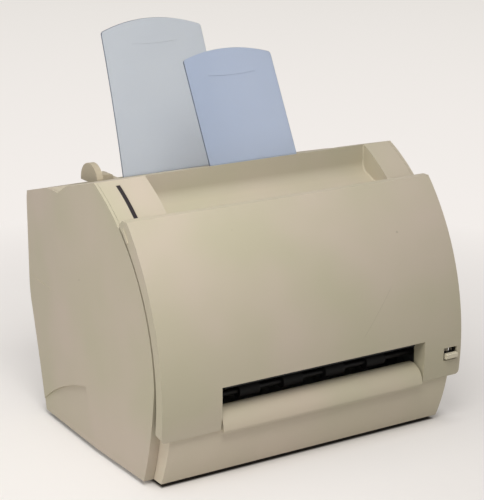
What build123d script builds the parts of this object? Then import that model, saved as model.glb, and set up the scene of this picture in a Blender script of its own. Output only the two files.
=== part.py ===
from build123d import *
import math
import os

# A desktop laser printer with a hinged front cover, a hopper for plain paper at the rear
# and two plug-in paper supports. Sizes are in millimetres: X to the right, Y to the rear,
# Z up. Y counts from the side covers' lower front corner until the last section, which
# moves the origin under the middle of the whole printer. Outlines in the YZ plane are
# seen from the right side, and every (y, z) pair below is a point of such an outline.

# Fits
seam = 0.3
running_fit = 0.05
slide_fit = 0.3
clear = 1.0

# Case
body_half_width = 183.0
tall = 3 * body_half_width
far = 2.5 * body_half_width
case_wall = 3.0
foot_height = 5.0
front_foot_y = -1.0
front_low_point = (-17.6, 63.2)
front_belly = (-23.9, 108.0)
front_shoulder = (22.7, 234.1)
ridge_y = 90.0
ridge_z = 288.6
rear_top_y = 267.0
rear_top_z = 243.0
rear_bulge = (272.0, 185.0)
rear_waist = (262.0, 120.0)
rear_low_point = (244.0, 68.0)
rear_foot_y = 226.0
taper_start_y = 110.0
taper_end_y = 276.0
rear_taper = 10.8
rear_half_width = body_half_width - rear_taper
rear_corner_radius = 14.0
ridge_rounding = 2.0
slope_bottom_z = 200.0
rear_seam_z = 238.0
deck_front_y = 110.0
rear_wrap = 14.2
rear_wrap_x = rear_half_width - rear_wrap
return_width = 10.7
return_wide_z = 100.0
return_depth_y = 60.0

# Scallops of the side covers: the notch in their top edge, the rear wing and the hand hold
notch_start_y = 128.0
notch_shoulder = (155.0, 270.6)
notch_y = 174.2
notch_drop = 7.7
notch_rear = (199.0, 257.8)
notch_end_y = 225.0
notch_reach = 22.0
wing_depth = 1.3
wing_bend = (183.0, 236.0)
wing_low = (185.3, 205.0)
wing_fade_z = 150.0
hold_front_foot_y = 99.0
hold_peak = (119.5, 66.2)
hold_middle = (165.0, 52.6)
hold_rear_z = 12.0
hold_step = 2.2
hold_depth = 0.5
hold_overrun = 10.0

# Face-down output recess in the top
recess_left_margin = 57.6
recess_right_margin = 36.0
recess_left_x = recess_left_margin - body_half_width
recess_right_x = body_half_width - recess_right_margin
recess_back_gap = 0.5
recess_back_drop = 27.5
recess_back_y = ridge_y + recess_back_gap
recess_back_z = ridge_z - recess_back_drop
recess_slope_deg = 23.3
recess_bend = 13.0
recess_front_y = 40.0
recess_wall = 2.5
recess_corner = 2.0

# Indicator slit in the left top block
slit_inset = 23.0
slit_x = slit_inset - body_half_width
slit_width = 4.9
slit_front_y = 46.7
slit_back_y = 83.2
lens_depth = 2.2
lens_sink = 0.5

# Vents in the rear cover
vent_rows = 8
vent_low_z = 16.0
vent_pitch = 7.0
vent_height = 2.8
vent_length = 56.0
vent_centres = (-50.0, 10.0, 70.0)

# Front cover
cover_overhang = 0.6
cover_half_width = body_half_width + cover_overhang
cover_wall = 3.0
cover_circle_y = 214.5
cover_circle_z = 95.0
cover_radius = 255.0
cover_top_z = 263.4
cover_bottom_z = 57.0
cover_top_depth = 9.5
flange_top = (38.4, 256.7)
flange_middle = (-17.0, 170.0)
flange_bottom = (-25.7, 60.2)
cover_edge_rounding = 4.5
cover_corner_rounding = 3.0
grip_y = 26.0
grip_z = 249.0
grip_length = 15.0
grip_width = 3.4
grip_height = 0.9

# Front output slot in the cover
slot_left_margin = 67.6
slot_right_margin = 48.6
slot_left_x = slot_left_margin - cover_half_width
slot_right_x = cover_half_width - slot_right_margin
slot_top_z = 102.0
slot_return_y = -22.0
slot_top_return_y = -35.0
slot_return_wall = 2.5

# Cover hinge
hinge_y = -12.0
hinge_z = 45.0
arm_inner = 25.5
arm_outer = 31.5
arm_root_deg = 152.0
arm_turn_deg = 45.0
arm_thickness = 5.0
arm_slot_reach = 16.5
hinge_hub_radius = 5.5
hinge_pin_radius = 2.5
ear_wall = 3.0

# Output selector in the right cheek
window_margin = 5.4
window_width = 17.5
window_right_x = cover_half_width - window_margin
window_left_x = window_right_x - window_width
window_bottom_z = 75.7
tab_height = 6.0
tab_proud = 4.0
tab_rest_gap = 2.3
tab_top_gap = 0.5
tab_inset = 1.3
selector_travel = 5.5
window_top_z = window_bottom_z + tab_rest_gap + tab_height + selector_travel + tab_top_gap
selector_plate = 2.0
selector_front_y = -35.8
selector_bottom_z = 69.0
selector_top_z = 97.0
selector_post_y = -26.5
selector_post_width = 2.0
selector_post_gap = 1.3
selector_frame = 2.5
selector_arm_drop = 4.0

# Diverter flap and the paper guide inside the cover
flap_y = -32.5
flap_z = 107.5
flap_reach = 11.0
flap_rest_deg = -80.0
flap_wall = 1.6
flap_shaft_radius = 2.0
flap_crank = 7.0
flap_crank_inset = 2.3
flap_crank_x = window_left_x + flap_crank_inset
guide_radius = 205.0
guide_wall = 2.0
guide_bottom_z = 115.0
guide_top_z = 236.0
guide_ribs = 10
panel_rear_y = 20.0
slope_centre_y = 175.5
slope_centre_z = 105.9
panel_left_gap = 4.0
panel_right_gap = 3.0
panel_left_x = slot_left_x + panel_left_gap
panel_right_x = slot_right_x - panel_right_gap
ear_xs = (-60.0, 80.0)

# Base
sill_inset = 11.0
base_half_width = body_half_width - sill_inset
arm_inset = 22.0
arm_left_x = arm_inset - base_half_width
arm_right_x = base_half_width - arm_inset
sill_foot_y = -16.3
sill_middle = (-25.5, 27.0)
sill_top_y = -33.5
sill_top_z = 55.7
base_floor = 3.0
sill_return_y = 1.5
floor_front_inset = 4.5
floor_rear_inset = 9.2
floor_front_half = body_half_width - floor_front_inset
floor_rear_half = rear_half_width - floor_rear_inset
foot_radius = 9.0
foot_inset_x = 32.0
foot_front_y = 12.0
foot_rear_y = 200.0
foot_rear_inset = 22.0

# Output ramp
ramp_top_z = 74.8
ramp_back_y = -17.0
ramp_front_y = -40.0
ramp_gap = 2.0
ramp_wall = 2.5
ramp_middle = (-34.2, 69.6)
ramp_lip_drop = 2.0
ramp_lip_slope = 1.0

# Paper and hopper
paper_centre_x = 10.5
paper_width = 210.0
guide_clearance = 0.3
tray_lean_deg = 27.0
tray_top_y = 252.5
tray_top_z = 241.0
tray_low_z = 118.0
tray_wide_z = 198.5
tray_left_margin = 26.2
tray_right_margin = 6.2
tray_wide_left_x = tray_left_margin - rear_half_width
tray_wide_right_x = rear_half_width - tray_right_margin
feed_shelf_y = 158.0
feed_shelf_z = 116.0
feed_lip = (124.0, 98.0)
tray_wall = 2.5
tray_front_gap = 60.5
mouth_gap = 2.0
mouth_left_x = tray_wide_left_x - mouth_gap
mouth_right_x = tray_wide_right_x + mouth_gap
mouth_front_y = 190.0
mouth_rear_y = 262.5
mouth_corner = 6.0

# Paper guides
fin_wall = 2.5
fin_right_top_z = 252.0
fin_depth = 48.0
fin_gap = 1.5
shelf_gap = 20.0
shelf_outer_x = tray_wide_left_x + shelf_gap
shelf_front_y = 196.0
shelf_rear_y = 212.0
shelf_z = 257.5
knob_thickness = 7.2
knob_front = (191.5, 264.0)
knob_top = (207.0, 278.0)
knob_rear = (229.0, 257.5)
knob_lip_z = 260.5
bridge_length = 14.8
bridge_top_z = 267.0
bridge_rounding = 4.0
guide_in_travel = 50.0
guide_out_travel = 3.0
rack_along = 98.0
rack_bar = 4.0
rack_depth = 3.0
rack_gap = 1.0
rack_reach = 60.0
guide_pinion_teeth = 20

# Lift plate
lift_foot = 12.0
lift_gap = 3.0
lift_plate_wall = 1.5
lift_length = 66.0
lift_left_x = -85.0
lift_right_x = 105.0
lift_pin_radius = 2.0
lift_spring_radius = 5.0
lift_spring_wire = 0.5
lift_spring_turns = 5
lift_spring_length = 14.0
lift_spring_spread = 70.0
spring_cup_wall = 1.5
cup_room = 1.2
spring_along = 14.0
lift_post = 4.0
lift_post_gap = 2.0
lift_cheek = 3.0

# Paper supports
support_sheet = 2.2
front_support_half = 53.9
front_support_y = 99.5
front_support_lean_deg = 27.1
front_support_length = 122.7
front_support_rise = 9.0
rear_support_half = 64.3
rear_support_flare = 4.1
rear_support_base = (260.0, 246.0)
rear_support_middle = (281.0, 313.3)
rear_support_top = (317.1, 409.4)
rear_support_rise = 11.6
pocket_spare = 2.0
support_corner = 4.0
support_pull = 18.0
front_support_foot = support_pull + 4.0
rear_support_foot = support_pull + 6.0
grip_half = 29.5
grip_sag = 6.6
grip_upper_sag = 1.5
grip_below_top = 28.0
grip_depth = 0.6
rear_support_turn = 15.8

# Side frames
gear_room = 58.5
board_room = 40.0
left_frame_x = gear_room - body_half_width
right_frame_x = body_half_width - board_room
frame_wall = 2.5
roller_end_room = 16.0
frame_top_z = 196.0
frame_rear_y = 205.0

# Rollers: centre height above the paper line is worked out from their radii
roller_gap = 0.3
shaft_radius = 3.0
drum_y = 62.0
drum_z = 106.0
drum_radius = 15.0
transfer_radius = 8.7
developer_radius = 8.2
developer_deg = 20.0
registration_y = 113.0
registration_z = 94.0
registration_radius = 7.0
pinch_radius = 6.0
fuser_y = 18.0
fuser_z = 80.0
pressure_radius = 9.7
film_radius = 10.0
delivery_y = -9.5
delivery_z = 82.0
delivery_radius = 7.0
delivery_pinch_radius = 5.0
eject_y = 34.0
eject_z = 222.0
eject_radius = 6.5
eject_pinch_radius = 6.5
pinch_shaft_radius = 2.0
pinch_width = 14.0
pinch_ear_gap = 1.5
pinch_ear_front = 12.0
pinch_ear_rear = 4.0
pinch_ear_drop = 8.0
pinch_shaft_overhang = 4.0
pickup_y = 175.0
pickup_z = 140.0
pickup_radius = 16.0
pickup_width = 42.0
pad_front_y = 163.0
pad_rear_y = 180.0
pad_height = 6.0
pickup_flat = 13.0

# Gears, all of module 1
module = 1.0
pressure_angle_deg = 20.0
backlash = 0.4
gear_face = 5.0
gear_layer_gap = 1.0
drum_teeth = 34
drum_right_teeth = 30
transfer_teeth = 18
developer_teeth = 17
compound_small_teeth = 30
compound_large_teeth = 60
compound_deg = 80.0
registration_teeth = 40
lower_idler_teeth = 48
fuser_idler_teeth = 47
fuser_teeth = 28
delivery_idler_teeth = 16
delivery_teeth = 20
pickup_idler_teeth = 38
pickup_teeth = 40
eject_idler_teeth = 52
eject_teeth = 20
pinion_teeth = 14
pinion_deg = 30.0
post_radius = 2.5
screw_shank = 1.5
screw_head = 3.0
screw_head_height = 2.0
bracket_spots = ((104.0, 124.0), (125.0, 140.0), (120.0, 182.0), (85.0, 181.0))
board_spots = ((70.0, 70.0), (195.0, 70.0), (70.0, 170.0), (195.0, 170.0))

# Cartridge and scanner
cartridge_gap = 6.5
cartridge_left_x = left_frame_x + frame_wall + cartridge_gap - clear
cartridge_right_x = right_frame_x - cartridge_gap
cartridge_front_y = 28.5
cartridge_rear_y = 112.0
cartridge_top_z = 182.0
cartridge_floor_z = 112.0
scanner_front_y = 84.0
scanner_rear_y = 152.0
scanner_height = 38.0
scanner_gap = 28.0
scanner_left_x = left_frame_x + frame_wall + scanner_gap - clear
scanner_right_x = right_frame_x - scanner_gap
scanner_wall = 2.5
mirror_radius = 16.0
mirror_sides = 6
mirror_y = 130.0
mirror_rise = 17.0
mirror_height = 3.0

# Electrics
motor_radius = 19.0
motor_length = 22.0
bracket_wall = 2.0
board_wall = 1.6
fan_size = 60.0
fan_depth = 20.0
fan_front_y = 200.0
fan_x = 10.0
inlet_margin = 47.2
inlet_x = inlet_margin - rear_half_width
inlet_width = 28.0
inlet_top_z = 38.0
switch_pitch = 31.0
switch_x = inlet_x + switch_pitch
switch_width = 16.0
switch_turn_deg = 14.0
switch_y = 222.0
switch_z = 23.5
rear_fit_y = 231.0
connector_width = 12.0
connector_low_z = 122.0
connector_high_z = 177.0
controller_gap = 4.5
controller_x = right_frame_x + frame_wall + controller_gap
connector_x = controller_x - 2.0


# Shared shapes

def drawn(face, x0, x1):
    """A YZ outline drawn out from x0 to x1."""
    return extrude(Plane.YZ.offset(x0) * face, amount=x1 - x0)


def block(x0, x1, y0, y1, z0, z1):
    """A box between two values along each axis."""
    middle = Pos((x0 + x1) / 2, (y0 + y1) / 2, (z0 + z1) / 2)
    return middle * Box(x1 - x0, y1 - y0, z1 - z0)


def polygon(*points):
    return make_face(Polyline(*points, close=True))


def rod(y, z, radius, x0, x1):
    """A round bar along X."""
    return Pos((x0 + x1) / 2, y, z) * Rot(0, 90, 0) * Cylinder(radius, x1 - x0)


def on_front(circle_y, circle_z, radius, z):
    """The point at height z on the front side of a circle in the YZ plane."""
    return (circle_y - math.sqrt(radius ** 2 - (z - circle_z) ** 2), z)


def front_arc(circle_y, circle_z, radius, z0, z1):
    ends = [on_front(circle_y, circle_z, radius, z) for z in (z0, (z0 + z1) / 2, z1)]
    return ThreePointArc(*ends)


def beyond(a, b, c, size=600.0):
    """The half space on the side of plane abc that its normal points to."""
    plane = Plane(origin=a, x_dir=Vector(*b) - Vector(*a), z_dir=normal_of(a, b, c))
    return plane * Box(size, size, size, align=(Align.CENTER, Align.CENTER, Align.MIN))


def normal_of(a, b, c):
    return (Vector(*b) - Vector(*a)).cross(Vector(*c) - Vector(*a))


def mirrored(shape):
    return mirror(shape, about=Plane.YZ)


def case_outline(inset=0.0):
    """The case seen from the side."""
    foot = (front_foot_y, foot_height)
    ridge = (ridge_y, ridge_z)
    rear_top = (rear_top_y, rear_top_z)
    rear_foot = (rear_foot_y, foot_height)
    edges = ThreePointArc(foot, front_low_point, front_belly)
    edges += ThreePointArc(front_belly, front_shoulder, ridge)
    edges += Line(ridge, rear_top)
    edges += ThreePointArc(rear_top, rear_bulge, rear_waist)
    edges += ThreePointArc(rear_waist, rear_low_point, rear_foot)
    edges += Line(rear_foot, foot)
    face = make_face(edges)
    if inset:
        face = offset(face, amount=-inset, kind=Kind.INTERSECTION)
    return face


def case_plan(inset=0.0):
    """The case seen from above, open at the front: parallel sides that taper to the rear."""
    far_front = -100.0
    half = body_half_width - inset
    taper = TangentArc((half, taper_start_y), (rear_half_width - inset, taper_end_y), tangent=(0, 1))
    edges = Line((half, far_front), (half, taper_start_y))
    edges += taper
    edges += Line((rear_half_width - inset, taper_end_y), (inset - rear_half_width, taper_end_y))
    edges += mirror(taper, about=Plane.YZ)
    edges += Line((-half, taper_start_y), (-half, far_front))
    edges += Line((-half, far_front), (half, far_front))
    face = make_face(edges)
    corners = face.vertices().group_by(Axis.Y)[-1]
    return fillet(corners, radius=rear_corner_radius - inset)


def rim_z(y):
    """Height of the rim, which falls from the ridge to the rear."""
    return ridge_z - (y - ridge_y) * (ridge_z - rear_top_z) / (rear_top_y - ridge_y)


def side_x(y):
    """Half width of the case at y."""
    span = taper_end_y - taper_start_y
    depth = body_half_width - rear_half_width
    if y <= taper_start_y:
        return body_half_width
    return body_half_width - depth * ((y - taper_start_y) / span) ** 2


case_solid = drawn(case_outline(), -far, far) & extrude(case_plan(), amount=tall)
case_inside = drawn(case_outline(case_wall), -far, far)
plan_inside = extrude(case_plan(case_wall), amount=tall)
plan_seam = extrude(case_plan(case_wall + seam), amount=tall)
case_floor_z = foot_height + base_floor


# Case mouldings

def notch_cutter(lowered=0.0):
    """What two scallops take off the left cover's top edge, swept inwards and up to the rim."""
    start = (notch_start_y, rim_z(notch_start_y) - lowered)
    valley = (notch_y, rim_z(notch_y) - notch_drop - lowered)
    end = (notch_end_y, rim_z(notch_end_y) - lowered)
    shoulder = (notch_shoulder[0], notch_shoulder[1] - lowered)
    rear = (notch_rear[0], notch_rear[1] - lowered)
    edges = ThreePointArc(start, shoulder, valley) + ThreePointArc(valley, rear, end)
    edges += Polyline(end, (notch_end_y, tall), (notch_start_y, tall), start)
    outside = Plane.YZ.offset(-body_half_width) * make_face(edges)
    sweep_in = Vector(notch_reach, 0, notch_drop)
    return extrude(outside, amount=2 * notch_reach, dir=sweep_in.normalized())


def notch_skin():
    """Wall that closes the case under the scallops."""
    below = notch_cutter(case_wall) - notch_cutter()
    return below & case_solid & block(-far, notch_reach + case_wall - body_half_width, 0, far, 0, tall)


def wing_cutter():
    """The wedge that sets the left cover's rear wing back behind a curved crease."""
    low_y = wing_low[0]
    valley = (notch_y, rim_z(notch_y) - notch_drop)
    edges = ThreePointArc(valley, wing_bend, wing_low)
    edges += Polyline(wing_low, (low_y, wing_fade_z), (far, wing_fade_z), (far, tall), (notch_y, tall), valley)
    region = drawn(make_face(edges), -far, 0)
    near = (-side_x(low_y), low_y, wing_fade_z)
    rear = (-side_x(rear_top_y), rear_top_y, wing_fade_z)
    top = (wing_depth - side_x(low_y), low_y, valley[1])
    return region & beyond(near, top, rear)


def hold_shapes():
    """Region of the left cover's hand hold: what it takes away, and the skin behind it."""
    rear = (rear_foot_y + hold_overrun, hold_rear_z)
    edges = ThreePointArc(hold_peak, hold_middle, rear)
    edges += Polyline(rear, (far, hold_rear_z), (far, 0), (hold_front_foot_y, 0), hold_peak)
    region = drawn(make_face(edges), -far, 0)
    foot = (-body_half_width, hold_front_foot_y, foot_height)
    peak = (hold_step - side_x(hold_peak[0]), *hold_peak)
    rear_foot = (hold_depth - side_x(rear_foot_y), rear_foot_y, foot_height)
    outside = beyond(foot, peak, rear_foot)
    behind = Pos(case_wall, 0, 0) * outside
    taken = region & outside
    skin = region & (behind - outside) & case_solid
    return taken, skin


def side_cover(sign):
    """One side of the case with its front return and the wrap round the rear corner."""
    wall = case_solid - plan_inside
    wall &= block(-far, 0, -far, far, foot_height, tall)
    shell = case_solid & plan_inside
    shell -= case_inside
    narrow = block(-body_half_width, return_width - body_half_width, -far, return_depth_y,
                   foot_height, return_wide_z)
    inner_x = left_frame_x - seam
    if sign > 0:
        inner_x = -(right_frame_x + frame_wall + seam)
    wide = block(-body_half_width, inner_x, -far, return_depth_y, return_wide_z,
                 slope_bottom_z - seam)
    wrap = block(-far, -rear_wrap_x, frame_rear_y, far, case_floor_z, rear_seam_z - seam)
    cover = wall + (shell & narrow) + (shell & wide) + (shell & wrap)
    cover += notch_skin() - plan_inside
    cover -= notch_cutter()
    cover -= wing_cutter()
    taken, skin = hold_shapes()
    cover -= taken
    cover += skin
    cover = cover.solids().sort_by(SortBy.VOLUME)[-1]
    if sign > 0:
        cover = mirrored(cover)
    return cover


def recess_low_z(y):
    """Height of the recess floor, which rises towards the ridge."""
    return recess_back_z - (recess_back_y - y) * math.tan(math.radians(recess_slope_deg))


def recess_outline(grow, front_y, front_z):
    """The output recess seen from the side, grown by the thickness of its wall."""
    back = recess_back_y + grow
    lowered = grow / math.cos(math.radians(recess_slope_deg))
    corner = (back, recess_low_z(back) - lowered)
    face = polygon((back, tall), corner, (front_y, recess_low_z(front_y) - lowered),
                   (front_y, front_z), (-far, front_z), (-far, tall))
    return fillet(face.vertices().sort_by_distance((*corner, 0))[0], radius=recess_bend + grow)


def recess_cutter():
    face = recess_outline(0.0, recess_front_y, slope_bottom_z - 20)
    cutter = drawn(face, recess_left_x, recess_right_x)
    chosen = [edge for end in cutter.faces().filter_by(Axis.X) for edge in end.edges()
              if recess_front_y + 1 < edge.center().Y < recess_back_y + 1]
    return fillet(chosen, radius=recess_corner)


def recess_skin():
    """Rear wall, floor and side walls of the recess before the recess itself is cut."""
    face = recess_outline(recess_wall, recess_front_y, ridge_z)
    return drawn(face, recess_left_x - recess_wall, recess_right_x + recess_wall)


def slit(depth_from, depth_to, gap):
    """A stretch of the left block's skin at the indicator slit, between two depths."""
    skin = drawn(case_outline(depth_from), -far, far) if depth_from else case_solid
    skin = skin - drawn(case_outline(depth_to), -far, far)
    half = slit_width / 2 - gap
    return skin & block(slit_x - half, slit_x + half, slit_front_y + gap, slit_back_y - gap,
                        slope_bottom_z, tall)


def front_foot_pocket():
    """Sleeve under the rim for the front support's foot, and the slot through the rim."""
    half = front_support_half + slide_fit
    sheet = support_sheet / 2 + slide_fit
    top = rim_z(front_support_y)
    low = top - front_support_foot - case_wall
    sleeve = block(paper_centre_x - half - recess_wall, paper_centre_x + half + recess_wall,
                   recess_back_y + recess_wall, front_support_y + sheet + recess_wall,
                   low, top - clear)
    slot = block(paper_centre_x - half, paper_centre_x + half,
                 front_support_y - sheet, front_support_y + sheet, low + recess_wall, tall)
    return sleeve, slot


def top_cover():
    """Front slope, ridge and rim in one moulding, with the output recess let into it."""
    skin = case_solid & plan_seam
    ridge_edge = [edge for edge in skin.edges()
                  if abs(edge.center().Y - ridge_y) < 0.1 and abs(edge.center().Z - ridge_z) < 0.1]
    outer = fillet(ridge_edge, radius=ridge_rounding)
    kept = polygon((-far, slope_bottom_z), (deck_front_y, slope_bottom_z), (deck_front_y, rear_seam_z),
                   (far, rear_seam_z), (far, tall), (-far, tall))
    zone = drawn(kept, -far, far)
    cover = (outer - case_inside) & zone
    cover += recess_skin() & outer & zone
    sleeve, slot = front_foot_pocket()
    cover += sleeve & outer
    cover -= recess_cutter()
    cover -= slot
    for side in (notch_skin(), mirrored(notch_skin())):
        cover += side & plan_seam
    for cutter in (notch_cutter(), mirrored(notch_cutter())):
        cover -= cutter
    mouth = Rectangle(mouth_right_x - mouth_left_x, mouth_rear_y - mouth_front_y)
    mouth = fillet(mouth.vertices(), radius=mouth_corner)
    place = Pos((mouth_left_x + mouth_right_x) / 2, (mouth_front_y + mouth_rear_y) / 2, slope_bottom_z)
    cover -= place * extrude(mouth, amount=tall)
    cover -= slit(0.0, case_wall + 1, 0.0)
    return cover.solids().sort_by(SortBy.VOLUME)[-1]


def rear_surface_y(z):
    """How far back the rear of the case reaches at height z, read off its solid."""
    strip = case_solid & block(-1, 1, frame_rear_y, far, z - 0.05, z + 0.05)
    return strip.bounding_box().max.Y


def rear_cover():
    """Rear wall between the side covers, with its sockets' windows and the vent slots."""
    skin = (case_solid & plan_inside) - case_inside
    edge = rear_wrap_x - seam
    cover = skin & block(-edge, edge, frame_rear_y, far, case_floor_z + seam, rear_seam_z - seam)
    windows = [
        (inlet_x - inlet_width / 2, inlet_x + inlet_width / 2, case_floor_z, inlet_top_z),
        (switch_x - switch_width / 2, switch_x + switch_width / 2, case_floor_z, inlet_top_z),
        (connector_x - connector_width / 2, connector_x + connector_width / 2,
         connector_low_z, connector_high_z),
    ]
    for x0, x1, z0, z1 in windows:
        cover -= block(x0 - seam, x1 + seam, frame_rear_y, far, z0 - far * (z0 == case_floor_z), z1 + seam)
    for row in range(vent_rows):
        z = vent_low_z + row * vent_pitch
        for centre in vent_centres:
            cover -= block(centre - vent_length / 2, centre + vent_length / 2, frame_rear_y, far,
                           z, z + vent_height)
    return cover.solids().sort_by(SortBy.VOLUME)[-1]




# Base

def base():
    """Floor, sill under the front cover and the ears of the cover hinge, moulded as one."""
    half = base_half_width
    sides = [(half, sill_foot_y + case_wall), (half, return_depth_y + 1), (floor_front_half, return_depth_y + 1),
             (floor_front_half, hold_front_foot_y - 2), (floor_rear_half, rear_foot_y - seam)]
    plan = polygon(*sides, *[(-x, y) for x, y in reversed(sides)])
    body = Pos(0, 0, foot_height) * extrude(plan, amount=base_floor)
    outside = ThreePointArc((sill_foot_y, foot_height), sill_middle, (sill_top_y, sill_top_z))
    edges = outside + Line((sill_top_y, sill_top_z), (sill_return_y, sill_top_z))
    edges += Line((sill_return_y, sill_top_z), (sill_return_y, foot_height))
    edges += Line((sill_return_y, foot_height), (sill_foot_y, foot_height))
    face = make_face(edges)
    hollow = offset(face, amount=-case_wall, kind=Kind.INTERSECTION)
    hollow = hollow + Pos(case_wall * 2, 0) * hollow
    sill = drawn(face, -half, half) - drawn(hollow, case_wall - half, half - case_wall)
    body += sill
    for x in (arm_left_x, arm_right_x):
        centre = x + arm_thickness / 2
        reach = arm_thickness / 2 + seam
        slot_front = hinge_y - arm_slot_reach
        body -= block(centre - reach, centre + reach, slot_front, far, hinge_z, sill_top_z + 1)
        for side in (-1, 1):
            x0 = centre + side * (reach + ear_wall / 2) - ear_wall / 2
            ear = block(x0, x0 + ear_wall, hinge_y - hinge_hub_radius, hinge_y + hinge_hub_radius,
                        case_floor_z - 1, sill_top_z - 1)
            body += ear - rod(hinge_y, hinge_z, hinge_pin_radius, x0 - 1, x0 + ear_wall + 1)
    return body


def hinge_pins():
    pins = []
    for x in (arm_left_x, arm_right_x):
        outer = seam + ear_wall
        pins.append(rod(hinge_y, hinge_z, hinge_pin_radius, x - outer, x + arm_thickness + outer))
    return Compound(pins)


def output_ramp():
    """The apron on the sill that the paper slides over as it leaves the front slot."""
    left = slot_left_x + ramp_gap
    right = slot_right_x - ramp_gap
    top = (ramp_back_y, ramp_top_z)
    nose = (ramp_front_y, sill_top_z + seam)
    edges = ThreePointArc(top, ramp_middle, nose)
    edges += Polyline(nose, (ramp_back_y, sill_top_z + seam), top)
    face = make_face(edges)
    inside = offset(face, amount=-ramp_wall, kind=Kind.INTERSECTION)
    inside = inside + Pos(ramp_wall, -ramp_wall) * inside + Pos(0, -ramp_wall) * inside
    body = drawn(face, left, right) - drawn(inside, left + ramp_wall, right - ramp_wall)
    lip_back = ramp_front_y + ramp_wall
    lip_z = sill_top_z - ramp_lip_drop
    lip = polygon(nose, (lip_back, sill_top_z + seam), (lip_back, lip_z + ramp_lip_slope),
                  (ramp_front_y + ramp_lip_slope / 2, lip_z))
    return body + drawn(lip, left, right)


def feet_places():
    front = base_half_width - foot_inset_x
    rear = floor_rear_half - foot_rear_inset
    return [(-front, foot_front_y), (front, foot_front_y), (-rear, foot_rear_y), (rear, foot_rear_y)]


def rubber_feet():
    feet = [Pos(x, y, foot_height / 2) * Cylinder(foot_radius, foot_height) for x, y in feet_places()]
    return Compound(feet)


# Front cover

def cover_outline(inset):
    """The front cover seen from the side; the inside runs on to the rear."""
    radius = cover_radius - inset
    low = cover_bottom_z
    high = cover_top_z - inset
    front = front_arc(cover_circle_y, cover_circle_z, radius, low, high)
    top_y = on_front(cover_circle_y, cover_circle_z, radius, high)[0]
    low_y = on_front(cover_circle_y, cover_circle_z, radius, low)[0]
    if inset:
        edges = front + Line((top_y, high), (far, high)) + Line((far, high), (far, low))
        edges += Line((far, low), (low_y, low))
        return make_face(edges)
    corner = (top_y + cover_top_depth, high)
    edges = front + Line((top_y, high), corner)
    edges += Line(corner, flange_top)
    edges += ThreePointArc(flange_top, flange_middle, flange_bottom)
    edges += Line(flange_bottom, (low_y, low))
    face = make_face(edges)
    return fillet(face.vertices().sort_by_distance((*corner, 0))[0], radius=cover_corner_rounding)


def front_cover():
    """Curved door with side flanges, the paper slot, the selector window and hinge arms."""
    half = cover_half_width
    body = drawn(cover_outline(0.0), -half, half)
    ends = [edge for face in body.faces().filter_by(Axis.X) for edge in face.edges()]
    longest = sorted(ends, key=lambda edge: (edge.center().Y, -edge.length))[:2]
    body = fillet(longest, radius=cover_edge_rounding)
    body -= drawn(cover_outline(cover_wall), cover_wall - half, half - cover_wall)
    outside = drawn(cover_outline(0.0), -half, half)
    wall = slot_return_wall
    frame = block(slot_left_x - wall, slot_right_x + wall, -far, slot_return_y, cover_bottom_z, slot_top_z + wall)
    frame -= block(slot_left_x, slot_right_x, slot_top_return_y, far, slot_top_z, slot_top_z + wall + 1)
    frame -= block(-far, far, -far, far, slot_top_z, slot_top_z + wall + 1) & block(
        slot_left_x, slot_right_x, slot_top_return_y, far, 0, tall)
    near_wall = drawn(polygon((-far, 0), (slot_return_y, 0), (slot_return_y, slot_top_z + wall),
                              (-far, slot_top_z + wall)), -half, half)
    swing = math.hypot(hinge_y - sill_top_y, sill_top_z - hinge_z) + clear
    frame -= rod(hinge_y, hinge_z, swing, -far, far)
    body += frame & near_wall & door_front_space()
    body -= block(slot_left_x, slot_right_x, -far, far, 0, slot_top_z)
    body -= block(window_left_x, window_right_x, -far, slot_return_y, window_bottom_z, window_top_z)
    body += selector_rails()
    for x in (arm_left_x, arm_right_x):
        body += hinge_arm(x) & (door_front_space() + block(-far, far, -30, far, 0, tall))
    for x in (-half, half):
        grip = Pos(x, grip_y, grip_z) * Rot(-35, 0, 0) * Box(grip_height * 2, grip_width, grip_length)
        body += grip
    return body.solids().sort_by(SortBy.VOLUME)[-1]


def door_front_space():
    """Everything behind the outer face of the front cover."""
    arc = front_arc(cover_circle_y, cover_circle_z, cover_radius - cover_wall / 2, 0.0, cover_top_z)
    low_y = on_front(cover_circle_y, cover_circle_z, cover_radius - cover_wall / 2, 0.0)[0]
    high_y = on_front(cover_circle_y, cover_circle_z, cover_radius - cover_wall / 2, cover_top_z)[0]
    edges = arc + Line((high_y, cover_top_z), (far, cover_top_z)) + Line((far, cover_top_z), (far, 0))
    edges += Line((far, 0), (low_y, 0))
    return drawn(make_face(edges), -cover_half_width, cover_half_width)


def hinge_arm(x):
    """One gooseneck arm: a curved band round the sill's edge and a spoke to the pin."""
    ring = Pos(0, 0) * (Circle(arm_outer) - Circle(arm_inner))
    root = math.radians(arm_root_deg)
    turn = math.radians(arm_turn_deg)
    size = arm_outer * 3
    middle = (root + turn) / 2
    sector = polygon((0, 0), (size * math.cos(turn), size * math.sin(turn)),
                     (size * math.cos(middle), size * math.sin(middle)),
                     (size * math.cos(root), size * math.sin(root)))
    band = ring & sector
    width = arm_outer - arm_inner
    spoke = Rot(0, 0, arm_turn_deg) * Pos(arm_outer / 2, width / 2) * Rectangle(arm_outer, width)
    shape = band + (spoke & Circle(arm_outer)) + Circle(hinge_hub_radius)
    shape -= Circle(hinge_pin_radius + running_fit)
    return drawn(Pos(hinge_y, hinge_z) * shape, x, x + arm_thickness)


def selector_rails():
    """Two lipped rails on the back of the cover that hold the selector plate."""
    back = selector_front_y + selector_plate + slide_fit
    left = window_left_x - tab_inset - selector_plate
    outer = cover_half_width - cover_wall
    low = selector_bottom_z + 1
    high = selector_top_z - 3
    lip = selector_plate
    reach = 3 * selector_plate
    rails = block(left - lip, left, cover_front_y(low) + cover_wall / 2, back + lip, low, high)
    rails += block(left - lip, left + reach, back, back + lip, low + 8, high - 8)
    rails += block(outer - reach, outer, back, back + lip, low + 8, high - 8)
    return rails


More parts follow.
